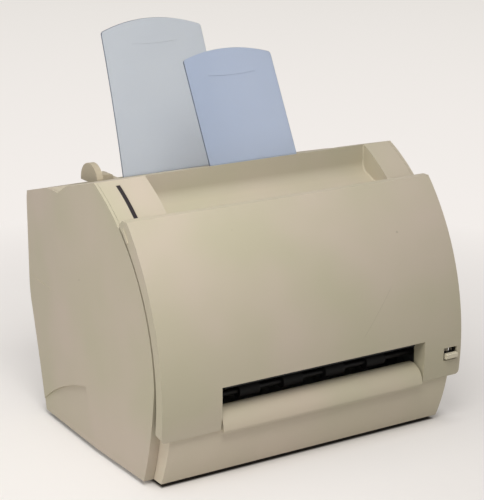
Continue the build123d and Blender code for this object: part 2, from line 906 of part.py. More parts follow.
def cover_front_y(z):
    return on_front(cover_circle_y, cover_circle_z, cover_radius, z)[0]


def output_selector():
    """Plate behind the window with the tab in front and the post that turns the flap."""
    left = window_left_x - tab_inset - selector_plate + slide_fit
    right = cover_half_width - cover_wall - slide_fit
    back = selector_front_y + selector_plate
    plate = block(left, right, selector_front_y, back, selector_bottom_z, selector_top_z)
    tab_z = window_bottom_z + tab_rest_gap
    tab = block(window_left_x + tab_inset, window_right_x - tab_inset,
                cover_front_y(tab_z + tab_height / 2) - tab_proud, selector_front_y, tab_z, tab_z + tab_height)
    tab = chamfer(tab.edges().filter_by(Axis.X).group_by(Axis.Y)[0], tab_height / 5)
    plate -= block(window_left_x + tab_inset, window_right_x - tab_inset, selector_front_y - 1, back + 1,
                   tab_z + tab_height, selector_top_z - selector_arm_drop - selector_frame)
    post_x = flap_crank_x
    half = selector_post_width / 2
    arm_z = selector_top_z - selector_arm_drop
    arm = block(post_x - half, post_x + half, back, selector_post_y + half, arm_z, arm_z + selector_post_width)
    post_top = flap_z - flap_wall / 2 - selector_post_gap
    post = block(post_x - half, post_x + half, selector_post_y - half, selector_post_y + half, arm_z, post_top)
    return plate + tab + arm + post


def flap_part(x0, x1, length, direction_deg):
    plate = Rot(0, 0, direction_deg) * Pos(length / 2, 0) * Rectangle(length, flap_wall)
    return drawn(Pos(flap_y, flap_z) * plate, x0, x1)


def diverter_flap():
    """Flap across the slot that sends the sheet forwards or up, with its shaft and crank."""
    shaft = rod(flap_y, flap_z, flap_shaft_radius, panel_left_x + 1, flap_crank_x + selector_post_width)
    blade = flap_part(panel_left_x + 4, panel_right_x - 4, flap_reach, flap_rest_deg)
    crank = flap_part(flap_crank_x - selector_post_width, flap_crank_x + selector_post_width, flap_crank, 0.0)
    return shaft + blade + crank


def cover_guide():
    """Curved panel inside the cover that turns the sheet upwards, ribbed on its front."""
    arc_centre = (slope_centre_y, slope_centre_z)
    outer = guide_radius + guide_wall
    edges = front_arc(*arc_centre, guide_radius, guide_bottom_z, guide_top_z)
    edges += front_arc(*arc_centre, outer, guide_bottom_z, guide_top_z)
    for z in (guide_bottom_z, guide_top_z):
        edges += Line(on_front(*arc_centre, guide_radius, z), on_front(*arc_centre, outer, z))
    panel = drawn(make_face(edges), panel_left_x, panel_right_x)
    pitch = (panel_right_x - panel_left_x - guide_wall) / guide_ribs
    room = drawn(cover_outline(cover_wall + seam), -far, far)
    for index in range(guide_ribs + 1):
        x = panel_left_x + index * pitch
        rib = drawn(polygon((-far, guide_bottom_z), (panel_rear_y, guide_bottom_z),
                            (panel_rear_y, guide_top_z), (-far, guide_top_z)), x, x + guide_wall)
        panel += (rib & room) - rod(*arc_centre, guide_radius + guide_wall / 2, -far, far)
    ear_z = flap_z - flap_shaft_radius - guide_wall
    for x in (panel_left_x + 1.5, panel_right_x - 3.5):
        front = cover_front_y(flap_z) + cover_wall + seam
        ear = block(x, x + guide_wall, front, flap_y + flap_shaft_radius + guide_wall, ear_z, guide_bottom_z + 4)
        panel += (ear & room) - rod(flap_y, flap_z, flap_shaft_radius + running_fit, x - 1, x + guide_wall + 1)
    for x in ear_xs:
        for side in (-1, 1):
            x0 = x + side * (pinch_width / 2 + pinch_ear_gap) - guide_wall / 2
            y, z = eject_pinch_centre
            ear = block(x0, x0 + guide_wall, y - pinch_ear_front, y + pinch_ear_rear, z - pinch_ear_drop, guide_top_z)
            ear -= rod(y, z, pinch_shaft_radius + running_fit, x0 - clear, x0 + guide_wall + clear)
            panel += ear & room
        y, z = eject_pinch_centre
        relief = pinch_width / 2 + running_fit * 10
        panel -= rod(y, z, eject_pinch_radius + clear, x - relief, x + relief)
    return panel.solids().sort_by(SortBy.VOLUME)[-1]


pinch_offset = eject_radius + roller_gap + eject_pinch_radius
eject_reach = math.hypot(eject_y - slope_centre_y, eject_z - slope_centre_z)
eject_pinch_centre = (eject_y + (eject_y - slope_centre_y) / eject_reach * pinch_offset,
                      eject_z + (eject_z - slope_centre_z) / eject_reach * pinch_offset)


def eject_pinch():
    """Two small rollers on the cover that press the sheet against the eject roller."""
    y, z = eject_pinch_centre
    spans = [rod(y, z, eject_pinch_radius, x - pinch_width / 2, x + pinch_width / 2) for x in ear_xs]
    low = ear_xs[0] - pinch_width / 2 - pinch_shaft_overhang
    high = ear_xs[1] + pinch_width / 2 + pinch_shaft_overhang
    return rod(y, z, pinch_shaft_radius, low, high) + spans[0] + spans[1]


# Gears: each is known by its centre, its teeth and the direction of one tooth

def meshing(first, first_teeth, teeth, second, second_teeth, side):
    """Centre of an idler that meshes with two gears whose centres are known."""
    near = module * (first_teeth + teeth) / 2
    away = module * (second_teeth + teeth) / 2
    gap = math.dist(first, second)
    along = (near ** 2 - away ** 2 + gap ** 2) / (2 * gap)
    across = side * math.sqrt(near ** 2 - along ** 2)
    uy = (second[0] - first[0]) / gap
    uz = (second[1] - first[1]) / gap
    return (first[0] + along * uy - across * uz, first[1] + along * uz + across * uy)


def phase_beside(centre, teeth, phase, other, other_teeth):
    """Direction of a tooth on the next gear so that it stands in a gap of this one."""
    direction = math.degrees(math.atan2(other[1] - centre[1], other[0] - centre[0]))
    tooth = (direction - phase) * teeth / 360
    return direction + 180 - (0.5 - tooth) * 360 / other_teeth


def from_centre(centre, direction_deg, distance):
    turn = math.radians(direction_deg)
    return (centre[0] + distance * math.cos(turn), centre[1] + distance * math.sin(turn))


def gear_face_outline(teeth, phase_deg):
    """Involute teeth about the origin, three points to a flank."""
    pitch = module * teeth / 2
    base = pitch * math.cos(math.radians(pressure_angle_deg))
    root = pitch - 1.25 * module
    tip = pitch + module
    lean = math.tan(math.radians(pressure_angle_deg)) - math.radians(pressure_angle_deg)
    half_tooth = math.pi / (2 * teeth) - backlash / (4 * pitch)
    points = []
    for index in range(teeth):
        middle = math.radians(phase_deg) + index * 2 * math.pi / teeth
        flank = []
        for radius in (root, pitch, tip):
            turn = math.acos(min(1.0, base / radius))
            half = half_tooth + lean - (math.tan(turn) - turn)
            flank.append((radius, half))
        for radius, half in flank:
            points.append((radius * math.cos(middle - half), radius * math.sin(middle - half)))
        for radius, half in reversed(flank):
            points.append((radius * math.cos(middle + half), radius * math.sin(middle + half)))
    return polygon(*points)


def gear(centre, teeth, phase_deg, x0, bore=0.0, width=gear_face):
    """A spur gear standing across X from x0, lightened by a ring on its outer side."""
    face = gear_face_outline(teeth, phase_deg)
    body = drawn(Pos(*centre) * face, x0, x0 + width)
    if bore:
        body -= rod(*centre, bore, x0 - 1, x0 + width + 1)
    rim = module * teeth / 2 - 4
    hub = max(bore, shaft_radius) + 2.5
    if rim > hub + 3:
        ring = rod(*centre, rim, x0 - 1, x0 + width / 3) - rod(*centre, hub, x0 - 1, x0 + width / 3)
        body -= ring
    return body


drum = (drum_y, drum_z)
transfer = (drum_y, drum_z - drum_radius - roller_gap - transfer_radius)
developer = from_centre(drum, developer_deg, drum_radius + roller_gap + developer_radius)
registration = (registration_y, registration_z)
pinch = (registration_y, registration_z + registration_radius + roller_gap + pinch_radius)
fuser = (fuser_y, fuser_z)
film = (fuser_y, fuser_z + pressure_radius + roller_gap + film_radius)
delivery = (delivery_y, delivery_z)
delivery_pinch_at = (delivery_y, delivery_z + delivery_radius + roller_gap + delivery_pinch_radius)
eject = (eject_y, eject_z)
pickup = (pickup_y, pickup_z)
compound = from_centre(drum, compound_deg, module * (drum_teeth + compound_small_teeth) / 2)
pinion = from_centre(compound, pinion_deg, module * (compound_large_teeth + pinion_teeth) / 2)
lower_idler = meshing(drum, drum_teeth, lower_idler_teeth, registration, registration_teeth, -1)
fuser_idler = meshing(lower_idler, lower_idler_teeth, fuser_idler_teeth, fuser, fuser_teeth, 1)
delivery_idler = meshing(fuser, fuser_teeth, delivery_idler_teeth, delivery, delivery_teeth, -1)
pickup_idler = meshing(registration, registration_teeth, pickup_idler_teeth, pickup, pickup_teeth, -1)
eject_idler = meshing(compound, compound_large_teeth, eject_idler_teeth, eject, eject_teeth, -1)

drum_phase = 0.0
compound_small_phase = phase_beside(drum, drum_teeth, drum_phase, compound, compound_small_teeth)
compound_large_phase = compound_small_phase
pinion_phase = phase_beside(compound, compound_large_teeth, compound_large_phase, pinion, pinion_teeth)
eject_idler_phase = phase_beside(compound, compound_large_teeth, compound_large_phase,
                                 eject_idler, eject_idler_teeth)
eject_phase = phase_beside(eject_idler, eject_idler_teeth, eject_idler_phase, eject, eject_teeth)
lower_idler_phase = phase_beside(drum, drum_teeth, drum_phase, lower_idler, lower_idler_teeth)
registration_phase = phase_beside(lower_idler, lower_idler_teeth, lower_idler_phase,
                                  registration, registration_teeth)
pickup_idler_phase = phase_beside(registration, registration_teeth, registration_phase,
                                  pickup_idler, pickup_idler_teeth)
pickup_phase = phase_beside(pickup_idler, pickup_idler_teeth, pickup_idler_phase, pickup, pickup_teeth)
fuser_idler_phase = phase_beside(lower_idler, lower_idler_teeth, lower_idler_phase,
                                 fuser_idler, fuser_idler_teeth)
fuser_phase = phase_beside(fuser_idler, fuser_idler_teeth, fuser_idler_phase, fuser, fuser_teeth)
delivery_idler_phase = phase_beside(fuser, fuser_teeth, fuser_phase, delivery_idler, delivery_idler_teeth)
delivery_phase = phase_beside(delivery_idler, delivery_idler_teeth, delivery_idler_phase,
                              delivery, delivery_teeth)
transfer_phase = phase_beside(drum, drum_right_teeth, drum_phase, transfer, transfer_teeth)
developer_phase = phase_beside(drum, drum_right_teeth, drum_phase, developer, developer_teeth)

# Gear layers outside the left frame, and the one inside the right frame
layer_one_x = left_frame_x - gear_layer_gap - gear_face
layer_two_x = layer_one_x - gear_layer_gap - gear_face
layer_right_x = cartridge_right_x + 0.5
bracket_x = layer_two_x - gear_layer_gap - 1 - bracket_wall
frame_inner_left = left_frame_x + frame_wall
roller_left_x = frame_inner_left + roller_end_room
roller_right_x = right_frame_x - roller_end_room
post_bore = post_radius + running_fit
shaft_hole = shaft_radius + running_fit


# Frames

def frame_outline():
    """Side frame seen from the side, with the nose that carries the delivery roller."""
    return polygon((4, case_floor_z), (4, 58), (-25, 70), (-25, 92), (-16, 112), (-8, 150), (8, 190),
                   (23, 224), (26, 231), (45, 233), (58, 214), (80, frame_top_z),
                   (frame_rear_y, frame_top_z), (frame_rear_y, case_floor_z))


def fixed_idlers():
    return [lower_idler, fuser_idler, delivery_idler, pickup_idler]


def frame_shafts():
    return [drum, transfer, registration, fuser, delivery, pickup, eject]


def left_frame():
    """Pressed steel plate with foot flange, bearings and the riveted gear posts."""
    body = drawn(frame_outline(), left_frame_x, frame_inner_left)
    for centre in frame_shafts() + [film, pinch, delivery_pinch_at]:
        body -= rod(*centre, shaft_hole, left_frame_x - 1, frame_inner_left + 1)
    for centre in fixed_idlers():
        body += rod(*centre, post_radius, layer_one_x - 1, left_frame_x)
        body += rod(*centre, post_radius + 2, left_frame_x - gear_layer_gap / 2, left_frame_x)
    for centre in (compound, eject_idler):
        body += rod(*centre, post_radius, layer_two_x - 1, left_frame_x)
        body += rod(*centre, post_radius + 2, left_frame_x - gear_layer_gap / 2, left_frame_x)
    for centre in bracket_spots:
        body += rod(*centre, post_radius + 1, bracket_x + bracket_wall, left_frame_x)
        body -= rod(*centre, screw_shank, bracket_x, left_frame_x - 2)
    body += block(frame_inner_left, frame_inner_left + 12, 60, 110, case_floor_z, case_floor_z + frame_wall)
    return body


def right_frame():
    body = drawn(frame_outline(), right_frame_x, right_frame_x + frame_wall)
    for centre in frame_shafts() + [film, pinch, delivery_pinch_at]:
        body -= rod(*centre, shaft_hole, right_frame_x - 1, right_frame_x + frame_wall + 1)
    for centre in board_spots:
        body += rod(*centre, post_radius + 1, right_frame_x + frame_wall, controller_x)
        body -= rod(*centre, screw_shank, right_frame_x + frame_wall + 2, controller_x + 1)
    body += block(right_frame_x - 12, right_frame_x, 60, 110, case_floor_z, case_floor_z + frame_wall)
    return body


def screws():
    """Pan head screws of the motor bracket and of the controller board."""
    pieces = []
    for y, z in bracket_spots:
        shank = rod(y, z, screw_shank, bracket_x, bracket_x + bracket_wall + 6)
        pieces.append(shank + rod(y, z, screw_head, bracket_x - screw_head_height, bracket_x))
    for y, z in board_spots:
        outer = controller_x + board_wall
        shank = rod(y, z, screw_shank, controller_x - 2, outer)
        pieces.append(shank + rod(y, z, screw_head, outer, outer + screw_head_height))
    return Compound(pieces)


def frame_stays():
    """Folded steel stays between the frames, and the bracket that carries the motor."""
    x0 = frame_inner_left
    x1 = right_frame_x
    top = block(x0, x1, scanner_front_y - 2, scanner_rear_y + 1, frame_top_z, frame_top_z + 2)
    top += block(x0, x1, scanner_front_y - 2, scanner_front_y, frame_top_z - 12, frame_top_z)
    top -= block(scanner_left_x, scanner_right_x, scanner_front_y + 0.5, scanner_front_y + 9, 0, tall)
    low = block(x0, x1, 34, 88, 60, 62)
    low += block(x0, x1, 34, 36, 50, 60)
    rear = block(x0, x1, frame_rear_y - 2, frame_rear_y, 75, 100)
    return Compound([top, low, rear, motor_bracket()])


def motor_bracket():
    """Steel plate outside the gears that carries the motor."""
    face = polygon((97, 117), (131, 133), (128, 190), (78, 190), (77, 172), (88, 150))
    body = drawn(face, bracket_x, bracket_x + bracket_wall)
    for centre in bracket_spots:
        body -= rod(*centre, screw_shank, bracket_x - 1, bracket_x + bracket_wall + 1)
    return body - rod(*pinion, shaft_hole, bracket_x - 1, bracket_x + bracket_wall + 1)


def main_motor():
    body = rod(*pinion, motor_radius, bracket_x - motor_length, bracket_x)
    body += rod(*pinion, motor_radius / 3, bracket_x - motor_length - 3, bracket_x - motor_length)
    return body - rod(*pinion, shaft_radius - 1 + running_fit, bracket_x - motor_length / 2, bracket_x + 1)


def motor_pinion():
    body = gear(pinion, pinion_teeth, pinion_phase, layer_two_x)
    return body + rod(*pinion, shaft_radius - 1, bracket_x - motor_length / 2 + 1, layer_two_x + 1)


# Idlers

def compound_gear():
    small = gear(compound, compound_small_teeth, compound_small_phase, layer_one_x, post_bore,
                 gear_face + gear_layer_gap / 2)
    large = gear(compound, compound_large_teeth, compound_large_phase, layer_two_x, post_bore)
    neck = rod(*compound, post_bore + 5, layer_two_x + gear_face, layer_one_x)
    return large + small + (neck - rod(*compound, post_bore, layer_two_x, layer_one_x + 1))


def lower_idler_gear():
    return gear(lower_idler, lower_idler_teeth, lower_idler_phase, layer_one_x, post_bore)


def fuser_idler_gear():
    return gear(fuser_idler, fuser_idler_teeth, fuser_idler_phase, layer_one_x, post_bore)


def delivery_idler_gear():
    return gear(delivery_idler, delivery_idler_teeth, delivery_idler_phase, layer_one_x, post_bore)


def pickup_idler_gear():
    return gear(pickup_idler, pickup_idler_teeth, pickup_idler_phase, layer_one_x, post_bore)


def eject_idler_gear():
    return gear(eject_idler, eject_idler_teeth, eject_idler_phase, layer_two_x, post_bore)


# Rollers: each spans the frames and carries its gear outside the left one

def roller(centre, radius, x0, x1, left_end, right_end):
    return rod(*centre, radius, x0, x1) + rod(*centre, shaft_radius, left_end, right_end)


frame_end_left = left_frame_x + 0.3
frame_end_right = right_frame_x + frame_wall - 0.3


def photo_drum():
    return roller(drum, drum_radius, roller_left_x, roller_right_x, frame_inner_left + 1, layer_right_x - 0.5)


def drum_gears():
    """Gears pressed on the two ends of the drum, with their journals in the frames."""
    left = gear(drum, drum_teeth, drum_phase, layer_one_x) + rod(
        *drum, shaft_radius, layer_one_x, frame_inner_left + 1)
    right = gear(drum, drum_right_teeth, drum_phase, layer_right_x) + rod(
        *drum, shaft_radius, layer_right_x - 0.5, frame_end_right)
    return Compound([left, right])


def developer_roller():
    body = roller(developer, developer_radius, roller_left_x, roller_right_x,
                  cartridge_left_x + 1, layer_right_x + 1)
    return body + gear(developer, developer_teeth, developer_phase, layer_right_x)


def transfer_roller():
    body = roller(transfer, transfer_radius, roller_left_x, roller_right_x, frame_end_left, frame_end_right)
    return body + gear(transfer, transfer_teeth, transfer_phase, layer_right_x)


def driven_roller(centre, radius, teeth, phase, spans, layer_x):
    """A shaft with rubber sleeves at the given spans and a gear at its left end."""
    body = rod(*centre, shaft_radius, layer_x + 1, frame_end_right)
    for x0, x1 in spans:
        body += rod(*centre, radius, x0, x1)
    return body + gear(centre, teeth, phase, layer_x)


def sleeve_spans(width):
    """Four sleeves spread over the paper."""
    step = paper_width / 4
    first = paper_centre_x - 1.5 * step
    return [(first + index * step - width / 2, first + index * step + width / 2) for index in range(4)]


def registration_roller():
    return driven_roller(registration, registration_radius, registration_teeth, registration_phase,
                         [(roller_left_x, roller_right_x)], layer_one_x)


def registration_pinch():
    return roller(pinch, pinch_radius, roller_left_x, roller_right_x, frame_end_left, frame_end_right)


def pressure_roller():
    return driven_roller(fuser, pressure_radius, fuser_teeth, fuser_phase,
                         [(roller_left_x, roller_right_x)], layer_one_x)


def fuser_film():
    return roller(film, film_radius, roller_left_x, roller_right_x, frame_end_left, frame_end_right)


def delivery_roller():
    return driven_roller(delivery, delivery_radius, delivery_teeth, delivery_phase, sleeve_spans(24.0),
                         layer_one_x)


def delivery_pinch():
    body = rod(*delivery_pinch_at, shaft_radius, frame_end_left, frame_end_right)
    for x0, x1 in sleeve_spans(16.0):
        body += rod(*delivery_pinch_at, delivery_pinch_radius, x0, x1)
    return body


def eject_roller():
    spans = [(x - pinch_width / 2, x + pinch_width / 2) for x in ear_xs]
    return driven_roller(eject, eject_radius, eject_teeth, eject_phase, spans, layer_two_x)


def pickup_roller():
    """The pickup roller has a flat side that lets the sheet go between two picks."""
    half = pickup_width / 2
    sleeve = rod(*pickup, pickup_radius, paper_centre_x - half, paper_centre_x + half)
    flat = Pos(paper_centre_x, *pickup) * Rot(-tray_lean_deg, 0, 0) * Pos(0, pickup_flat + pickup_radius, 0)
    sleeve -= flat * Box(far, 2 * pickup_radius, far)
    body = rod(*pickup, shaft_radius, layer_one_x + 1, frame_end_right)
    return body + sleeve + gear(pickup, pickup_teeth, pickup_phase, layer_one_x)


# Fuser cover, cartridge and scanner

def fuser_cover():
    """Heat shield moulding arched over the film unit between the frames."""
    inner = film_radius + 1.8
    ring = Circle(inner + 2.5) - Circle(inner)
    upper = Pos(0, inner + 2) * Rectangle(far, 2 * inner)
    return drawn(Pos(*film) * (ring & upper), frame_inner_left, right_frame_x)


def toner_cartridge():
    """Cartridge shell with the drum's hollow, the beam slot and two toner tanks."""
    front = cartridge_front_y
    rear = cartridge_rear_y
    top = cartridge_top_z
    low = cartridge_floor_z
    face = polygon((front, low), (front, top - 22), (front + 12, top), (rear - 8, top), (rear, top - 12),
                   (rear, low + 10), (rear - 16, low - 8), (developer[0] - 2, low - 9), (drum_y, low - 4))
    body = drawn(face, cartridge_left_x, cartridge_right_x)
    x0 = roller_left_x - 1
    x1 = roller_right_x + 1
    body -= rod(*drum, drum_radius + 1, x0, x1)
    body -= rod(*developer, developer_radius + 1, x0, x1)
    beam = polygon((80, top + 1), (88, top + 1), (76, low + 6), (68, low + 6))
    body -= drawn(beam, scanner_left_x, scanner_right_x)
    tank = polygon((front + 3, low + 4), (front + 3, top - 24), (front + 14, top - 4), (76, top - 4),
                   (65, low + 14), (46, low + 9))
    body -= drawn(tank, x0, x1)
    tank = polygon((92, top - 4), (rear - 9, top - 4), (rear - 3, top - 14), (rear - 3, low + 14), (84, low + 14))
    body -= drawn(tank, x0, x1)
    for centre in (drum, developer):
        body -= rod(*centre, shaft_hole, cartridge_left_x - 1, cartridge_right_x + 1)
    return body


scanner_foot_z = frame_top_z + 2


def scanner_housing():
    """Closed box over the top stay with the slit that lets the beam down."""
    top = scanner_foot_z + scanner_height
    body = block(scanner_left_x, scanner_right_x, scanner_front_y, scanner_rear_y, scanner_foot_z, top)
    wall = scanner_wall
    body -= block(scanner_left_x + wall, scanner_right_x - wall, scanner_front_y + wall,
                  scanner_rear_y - wall, scanner_foot_z + wall, top - wall)
    return body - block(scanner_left_x + wall, scanner_right_x - wall, scanner_front_y + wall,
                        scanner_front_y + wall + 4, scanner_foot_z - 1, scanner_foot_z + wall + 1)


mirror_centre = (paper_centre_x, mirror_y)
mirror_z = scanner_foot_z + mirror_rise


def scanner_motor():
    """Flat motor on the floor of the housing that spins the mirror."""
    floor_z = scanner_foot_z + scanner_wall
    body = Pos(*mirror_centre, (floor_z + mirror_z) / 2 - 0.5) * Cylinder(13.0, mirror_z - floor_z - 1)
    axle = Pos(*mirror_centre, mirror_z + 2) * Cylinder(post_radius, 2 * mirror_height + 2)
    board = block(mirror_centre[0] - 30, mirror_centre[0] + 30, mirror_centre[1] - 15, mirror_centre[1] + 15,
                  floor_z, floor_z + board_wall)
    return body + axle + board


def polygon_mirror():
    disc = Pos(*mirror_centre, mirror_z) * extrude(RegularPolygon(mirror_radius, mirror_sides), amount=mirror_height)
    return disc - Pos(*mirror_centre, mirror_z) * Cylinder(post_bore, 4 * mirror_height)


def scan_optics():
    """Scan lens and the folding mirror above the slit."""
    floor_z = scanner_foot_z + scanner_wall
    lens = block(mirror_centre[0] - 40, mirror_centre[0] + 40, 98, 105, floor_z, floor_z + 20)
    slant = Rot(45, 0, 0) * Box(180, 2, 16)
    fold = Pos(mirror_centre[0], scanner_front_y + 12, mirror_z + 4) * slant
    post = [block(mirror_centre[0] + side * 88 - 3, mirror_centre[0] + side * 88 + 3, scanner_front_y + 7,
                  scanner_front_y + 16, floor_z, mirror_z + 6) for side in (-1, 1)]
    fold = fold + post[0] + post[1]
    return Compound([lens, fold])


# Hopper. Its own frame: x across, y up along the plate, z towards the paper

lean = math.radians(tray_lean_deg)
tray_foot_y = tray_top_y - (tray_top_z - tray_low_z) * math.tan(lean)
tray_plane = Plane(origin=(0, tray_foot_y, tray_low_z), x_dir=(1, 0, 0),
                   z_dir=(0, -math.cos(lean), math.sin(lean)))
tray_length = (tray_top_z - tray_low_z) / math.cos(lean)


def tray_block(x0, x1, y0, y1, z0, z1):
    """A box in the hopper's own frame."""
    return tray_plane * block(x0, x1, y0, y1, z0, z1)


def tray_point(along, depth):
    """World y and z of a point of the hopper's own frame."""
    spot = tray_plane.from_local_coords((0, along, depth))
    return (spot.Y, spot.Z)


def support_pocket():
    """Space the rear support's foot slides in, and the sleeve round it."""
    half = rear_support_half + rear_support_flare + slide_fit
    sheet = support_sheet / 2 + slide_fit
    depth = rear_support_foot + pocket_spare
    plane = Pos(0, *rear_support_base) * Rot(-rear_support_turn, 0, 0)
    space = plane * block(paper_centre_x - half, paper_centre_x + half, -sheet, sheet, -depth, rear_support_foot)
    outer = sheet + tray_wall
    sleeve = plane * block(paper_centre_x - half - tray_wall, paper_centre_x + half + tray_wall,
                           -outer, outer, -depth - tray_wall, 0)
    return space, sleeve


rack_pitch_radius = module * guide_pinion_teeth / 2
rack_low = rack_along - rack_pitch_radius
rack_high = rack_along + rack_pitch_radius
left_fin_x = paper_centre_x - paper_width / 2 - guide_clearance
right_fin_x = paper_centre_x + paper_width / 2 + guide_clearance
rack_front = -tray_wall - rack_gap


def hopper():
    """Leaning paper well: back plate, front wall, shelf and the chute to the rollers."""
    x0 = frame_inner_left
    x1 = right_frame_x
    wide0 = tray_wide_left_x
    wide1 = tray_wide_right_x
    body = tray_block(wide0, wide1, 0, tray_length, -tray_wall, 0)
    body += tray_block(wide0, wide1, 38, tray_length - 12, tray_front_gap, tray_front_gap + tray_wall)
    for x in (wide0, wide1 - tray_wall):
        body += tray_block(x, x + tray_wall, 30, tray_length - 12, -tray_wall, tray_front_gap + tray_wall)
    low = block(-far, x0, -far, far, 0, tray_wide_z) + block(x1, far, -far, far, 0, tray_wide_z)
    body -= low
    back = tray_foot_y + 1
    chute = polygon((back, feed_shelf_z), (back, feed_shelf_z - tray_wall), (feed_shelf_y, feed_shelf_z - tray_wall),
                    (feed_lip[0] + 1, feed_lip[1] - tray_wall), feed_lip, (feed_shelf_y, feed_shelf_z))
    foot = polygon((back, feed_shelf_z - tray_wall), (back - 2 * tray_wall, feed_shelf_z - tray_wall),
                   (tray_foot_y - 2, 122), (tray_foot_y + 4, 122))
    body += drawn(chute, x0, x1)
    body += drawn(foot, x0, x1)
    space, sleeve = support_pocket()
    body += sleeve & block(-far, far, -far, mouth_rear_y, 0, rear_seam_z)
    body -= space
    for x, side in ((left_fin_x, 1), (right_fin_x, -1)):
        middle = x - side * fin_wall / 2
        travel_in = middle + side * (guide_in_travel + fin_wall)
        travel_out = middle - side * (guide_out_travel + fin_wall)
        y = rack_high if side > 0 else rack_low
        low_x = min(travel_in, travel_out)
        body -= tray_block(low_x - 1, low_x + abs(travel_in - travel_out) + 2,
                           y - rack_bar - seam, y + rack_bar + seam, -tray_wall - clear, clear)
    reach = lift_pin_radius + running_fit
    for x in (lift_left_x - lift_post_gap - lift_post, lift_right_x + lift_post_gap):
        post = tray_block(x, x + lift_post, lift_hinge - lift_post, lift_hinge + lift_post, 0,
                          lift_gap + lift_cheek)
        body += post - tray_pin(x - clear, x + lift_post + clear, reach)
    post_length = rack_gap + rack_depth
    body += tray_plane * Pos(paper_centre_x, rack_along, -tray_wall - post_length / 2) * Cylinder(
        post_radius, post_length)
    body += cups()
    return body


lift_hinge = lift_foot + lift_length
fin_foot = lift_hinge + lift_post + clear
cup_depth = lift_spring_length - lift_gap + 2 * seam
cup_radius = lift_spring_radius + cup_room


def tray_pin(x0, x1, radius):
    """A bar along X at the lift plate's pivot."""
    y, z = tray_point(lift_hinge, lift_gap)
    return rod(y, z, radius, x0, x1)


def spring_places():
    middle = (lift_left_x + lift_right_x) / 2
    along = lift_foot + spring_along
    return [(middle - lift_spring_spread / 2, along), (middle + lift_spring_spread / 2, along)]


def cups():
    """Cups behind the back plate that hold the lift springs."""
    depth = cup_depth
    outer = cup_radius + spring_cup_wall
    cup = []
    for x, y in spring_places():
        solid = tray_plane * Pos(x, y, -depth / 2 - spring_cup_wall / 2) * Cylinder(outer, depth + spring_cup_wall)
        cup.append(solid)
    return cup[0] + cup[1]


def spring_hollows():
    return [tray_plane * Pos(x, y, clear - cup_depth / 2) * Cylinder(cup_radius, cup_depth + 2 * clear)
            for x, y in spring_places()]


def lift_springs():
    """Two coils that press the lift plate towards the pickup roller."""
    pitch = (lift_spring_length - 2 * lift_spring_wire - 2 * seam) / lift_spring_turns
    coils = []
    for x, y in spring_places():
        path = Helix(pitch=pitch, height=pitch * lift_spring_turns, radius=lift_spring_radius)
        start = path @ 0
        wire = Plane(origin=start, z_dir=path % 0) * Circle(lift_spring_wire)
        coil = sweep(wire, path=path)
        coils.append(tray_plane * Pos(x, y, seam + lift_spring_wire - cup_depth) * coil)
    return Compound(coils)


def lift_plate():
    """Steel plate under the lower part of the stack, hinged at its upper edge."""
    body = tray_block(lift_left_x, lift_right_x, lift_foot, lift_hinge, lift_gap - lift_plate_wall / 2,
                      lift_gap + lift_plate_wall / 2)
    body += tray_pin(lift_left_x, lift_right_x, lift_pin_radius)
    stub = lift_post_gap + lift_post
    body += tray_pin(lift_left_x - stub, lift_left_x, lift_pin_radius)
    body += tray_pin(lift_right_x, lift_right_x + stub, lift_pin_radius)
    return body


def separation_pad():
    """Cork pad under the pickup roller, on the shelf of the hopper."""
    half = pickup_width / 2 - 1
    return block(paper_centre_x - half, paper_centre_x + half, pad_front_y, pad_rear_y,
                 feed_shelf_z, feed_shelf_z + pad_height)


# Paper guides with racks

def rack(x_from, x_to, middle, teeth_side, phase_x):
    """A toothed bar along x in the hopper's frame; teeth point to teeth_side."""
    step = math.pi * module
    half_pitch = step / 4 - backlash / 4
    slant = math.tan(math.radians(pressure_angle_deg))
    line = middle
    tip = line + teeth_side * module
    root = line - teeth_side * 1.25 * module
    back = root - teeth_side * rack_bar
    first = math.ceil((x_from - phase_x) / step + 1)
    last = math.floor((x_to - phase_x) / step - 1)
    points = [(x_from, back), (x_from, root)]
    for index in range(first, last + 1):
        centre = phase_x + index * step
        points += [(centre - half_pitch - 1.25 * module * slant, root), (centre - half_pitch + module * slant, tip),
                   (centre + half_pitch - module * slant, tip), (centre + half_pitch + 1.25 * module * slant, root)]
    points += [(x_to, root), (x_to, back)]
    face = polygon(*points)
    return tray_plane * Pos(0, 0, rack_front - rack_depth) * extrude(face, amount=rack_depth)


def guide_fin(x0, x1, top_z):
    """The fin that touches the stack's edge, cut level at its top."""
    fin = tray_block(x0, x1, fin_foot, tray_length * 2, fin_gap, fin_gap + fin_depth)
    return fin & block(-far, far, -far, far, 0, top_z)


def left_paper_guide():
    """Left guide: fin, shelf with the arched thumb tab and its bridge, neck and upper rack."""
    x1 = left_fin_x
    x0 = x1 - fin_wall
    knob_x = shelf_outer_x + knob_thickness
    body = guide_fin(x0, x1, shelf_z + 1)
    body += block(shelf_outer_x, x1, shelf_front_y, shelf_rear_y, shelf_z, shelf_z + tray_wall)
    body += block(x1 - 14, x1, shelf_rear_y - 1, shelf_rear_y + 24, shelf_z, shelf_z + tray_wall)
    edges = ThreePointArc(knob_front, knob_top, knob_rear)
    edges += Polyline(knob_rear, (shelf_front_y, shelf_z), (knob_front[0], knob_lip_z), knob_front)
    body += drawn(make_face(edges), shelf_outer_x, knob_x)
    bridge = block(knob_x, knob_x + bridge_length, shelf_front_y, shelf_rear_y, shelf_z, bridge_top_z)
    corner = bridge.edges().filter_by(Axis.Y).sort_by(Axis.Z)[-2:].sort_by(Axis.X)[-1]
    body += fillet(corner, radius=bridge_rounding)
    neck = tray_block(x0, x1, rack_high + 1.25 * module, rack_high + 1.25 * module + rack_bar - 1.5,
                      rack_front - 0.5, fin_gap + 1)
    bar = rack(x0, x0 + guide_out_travel + guide_in_travel + rack_reach, rack_high, -1, paper_centre_x)
    return body + neck + bar


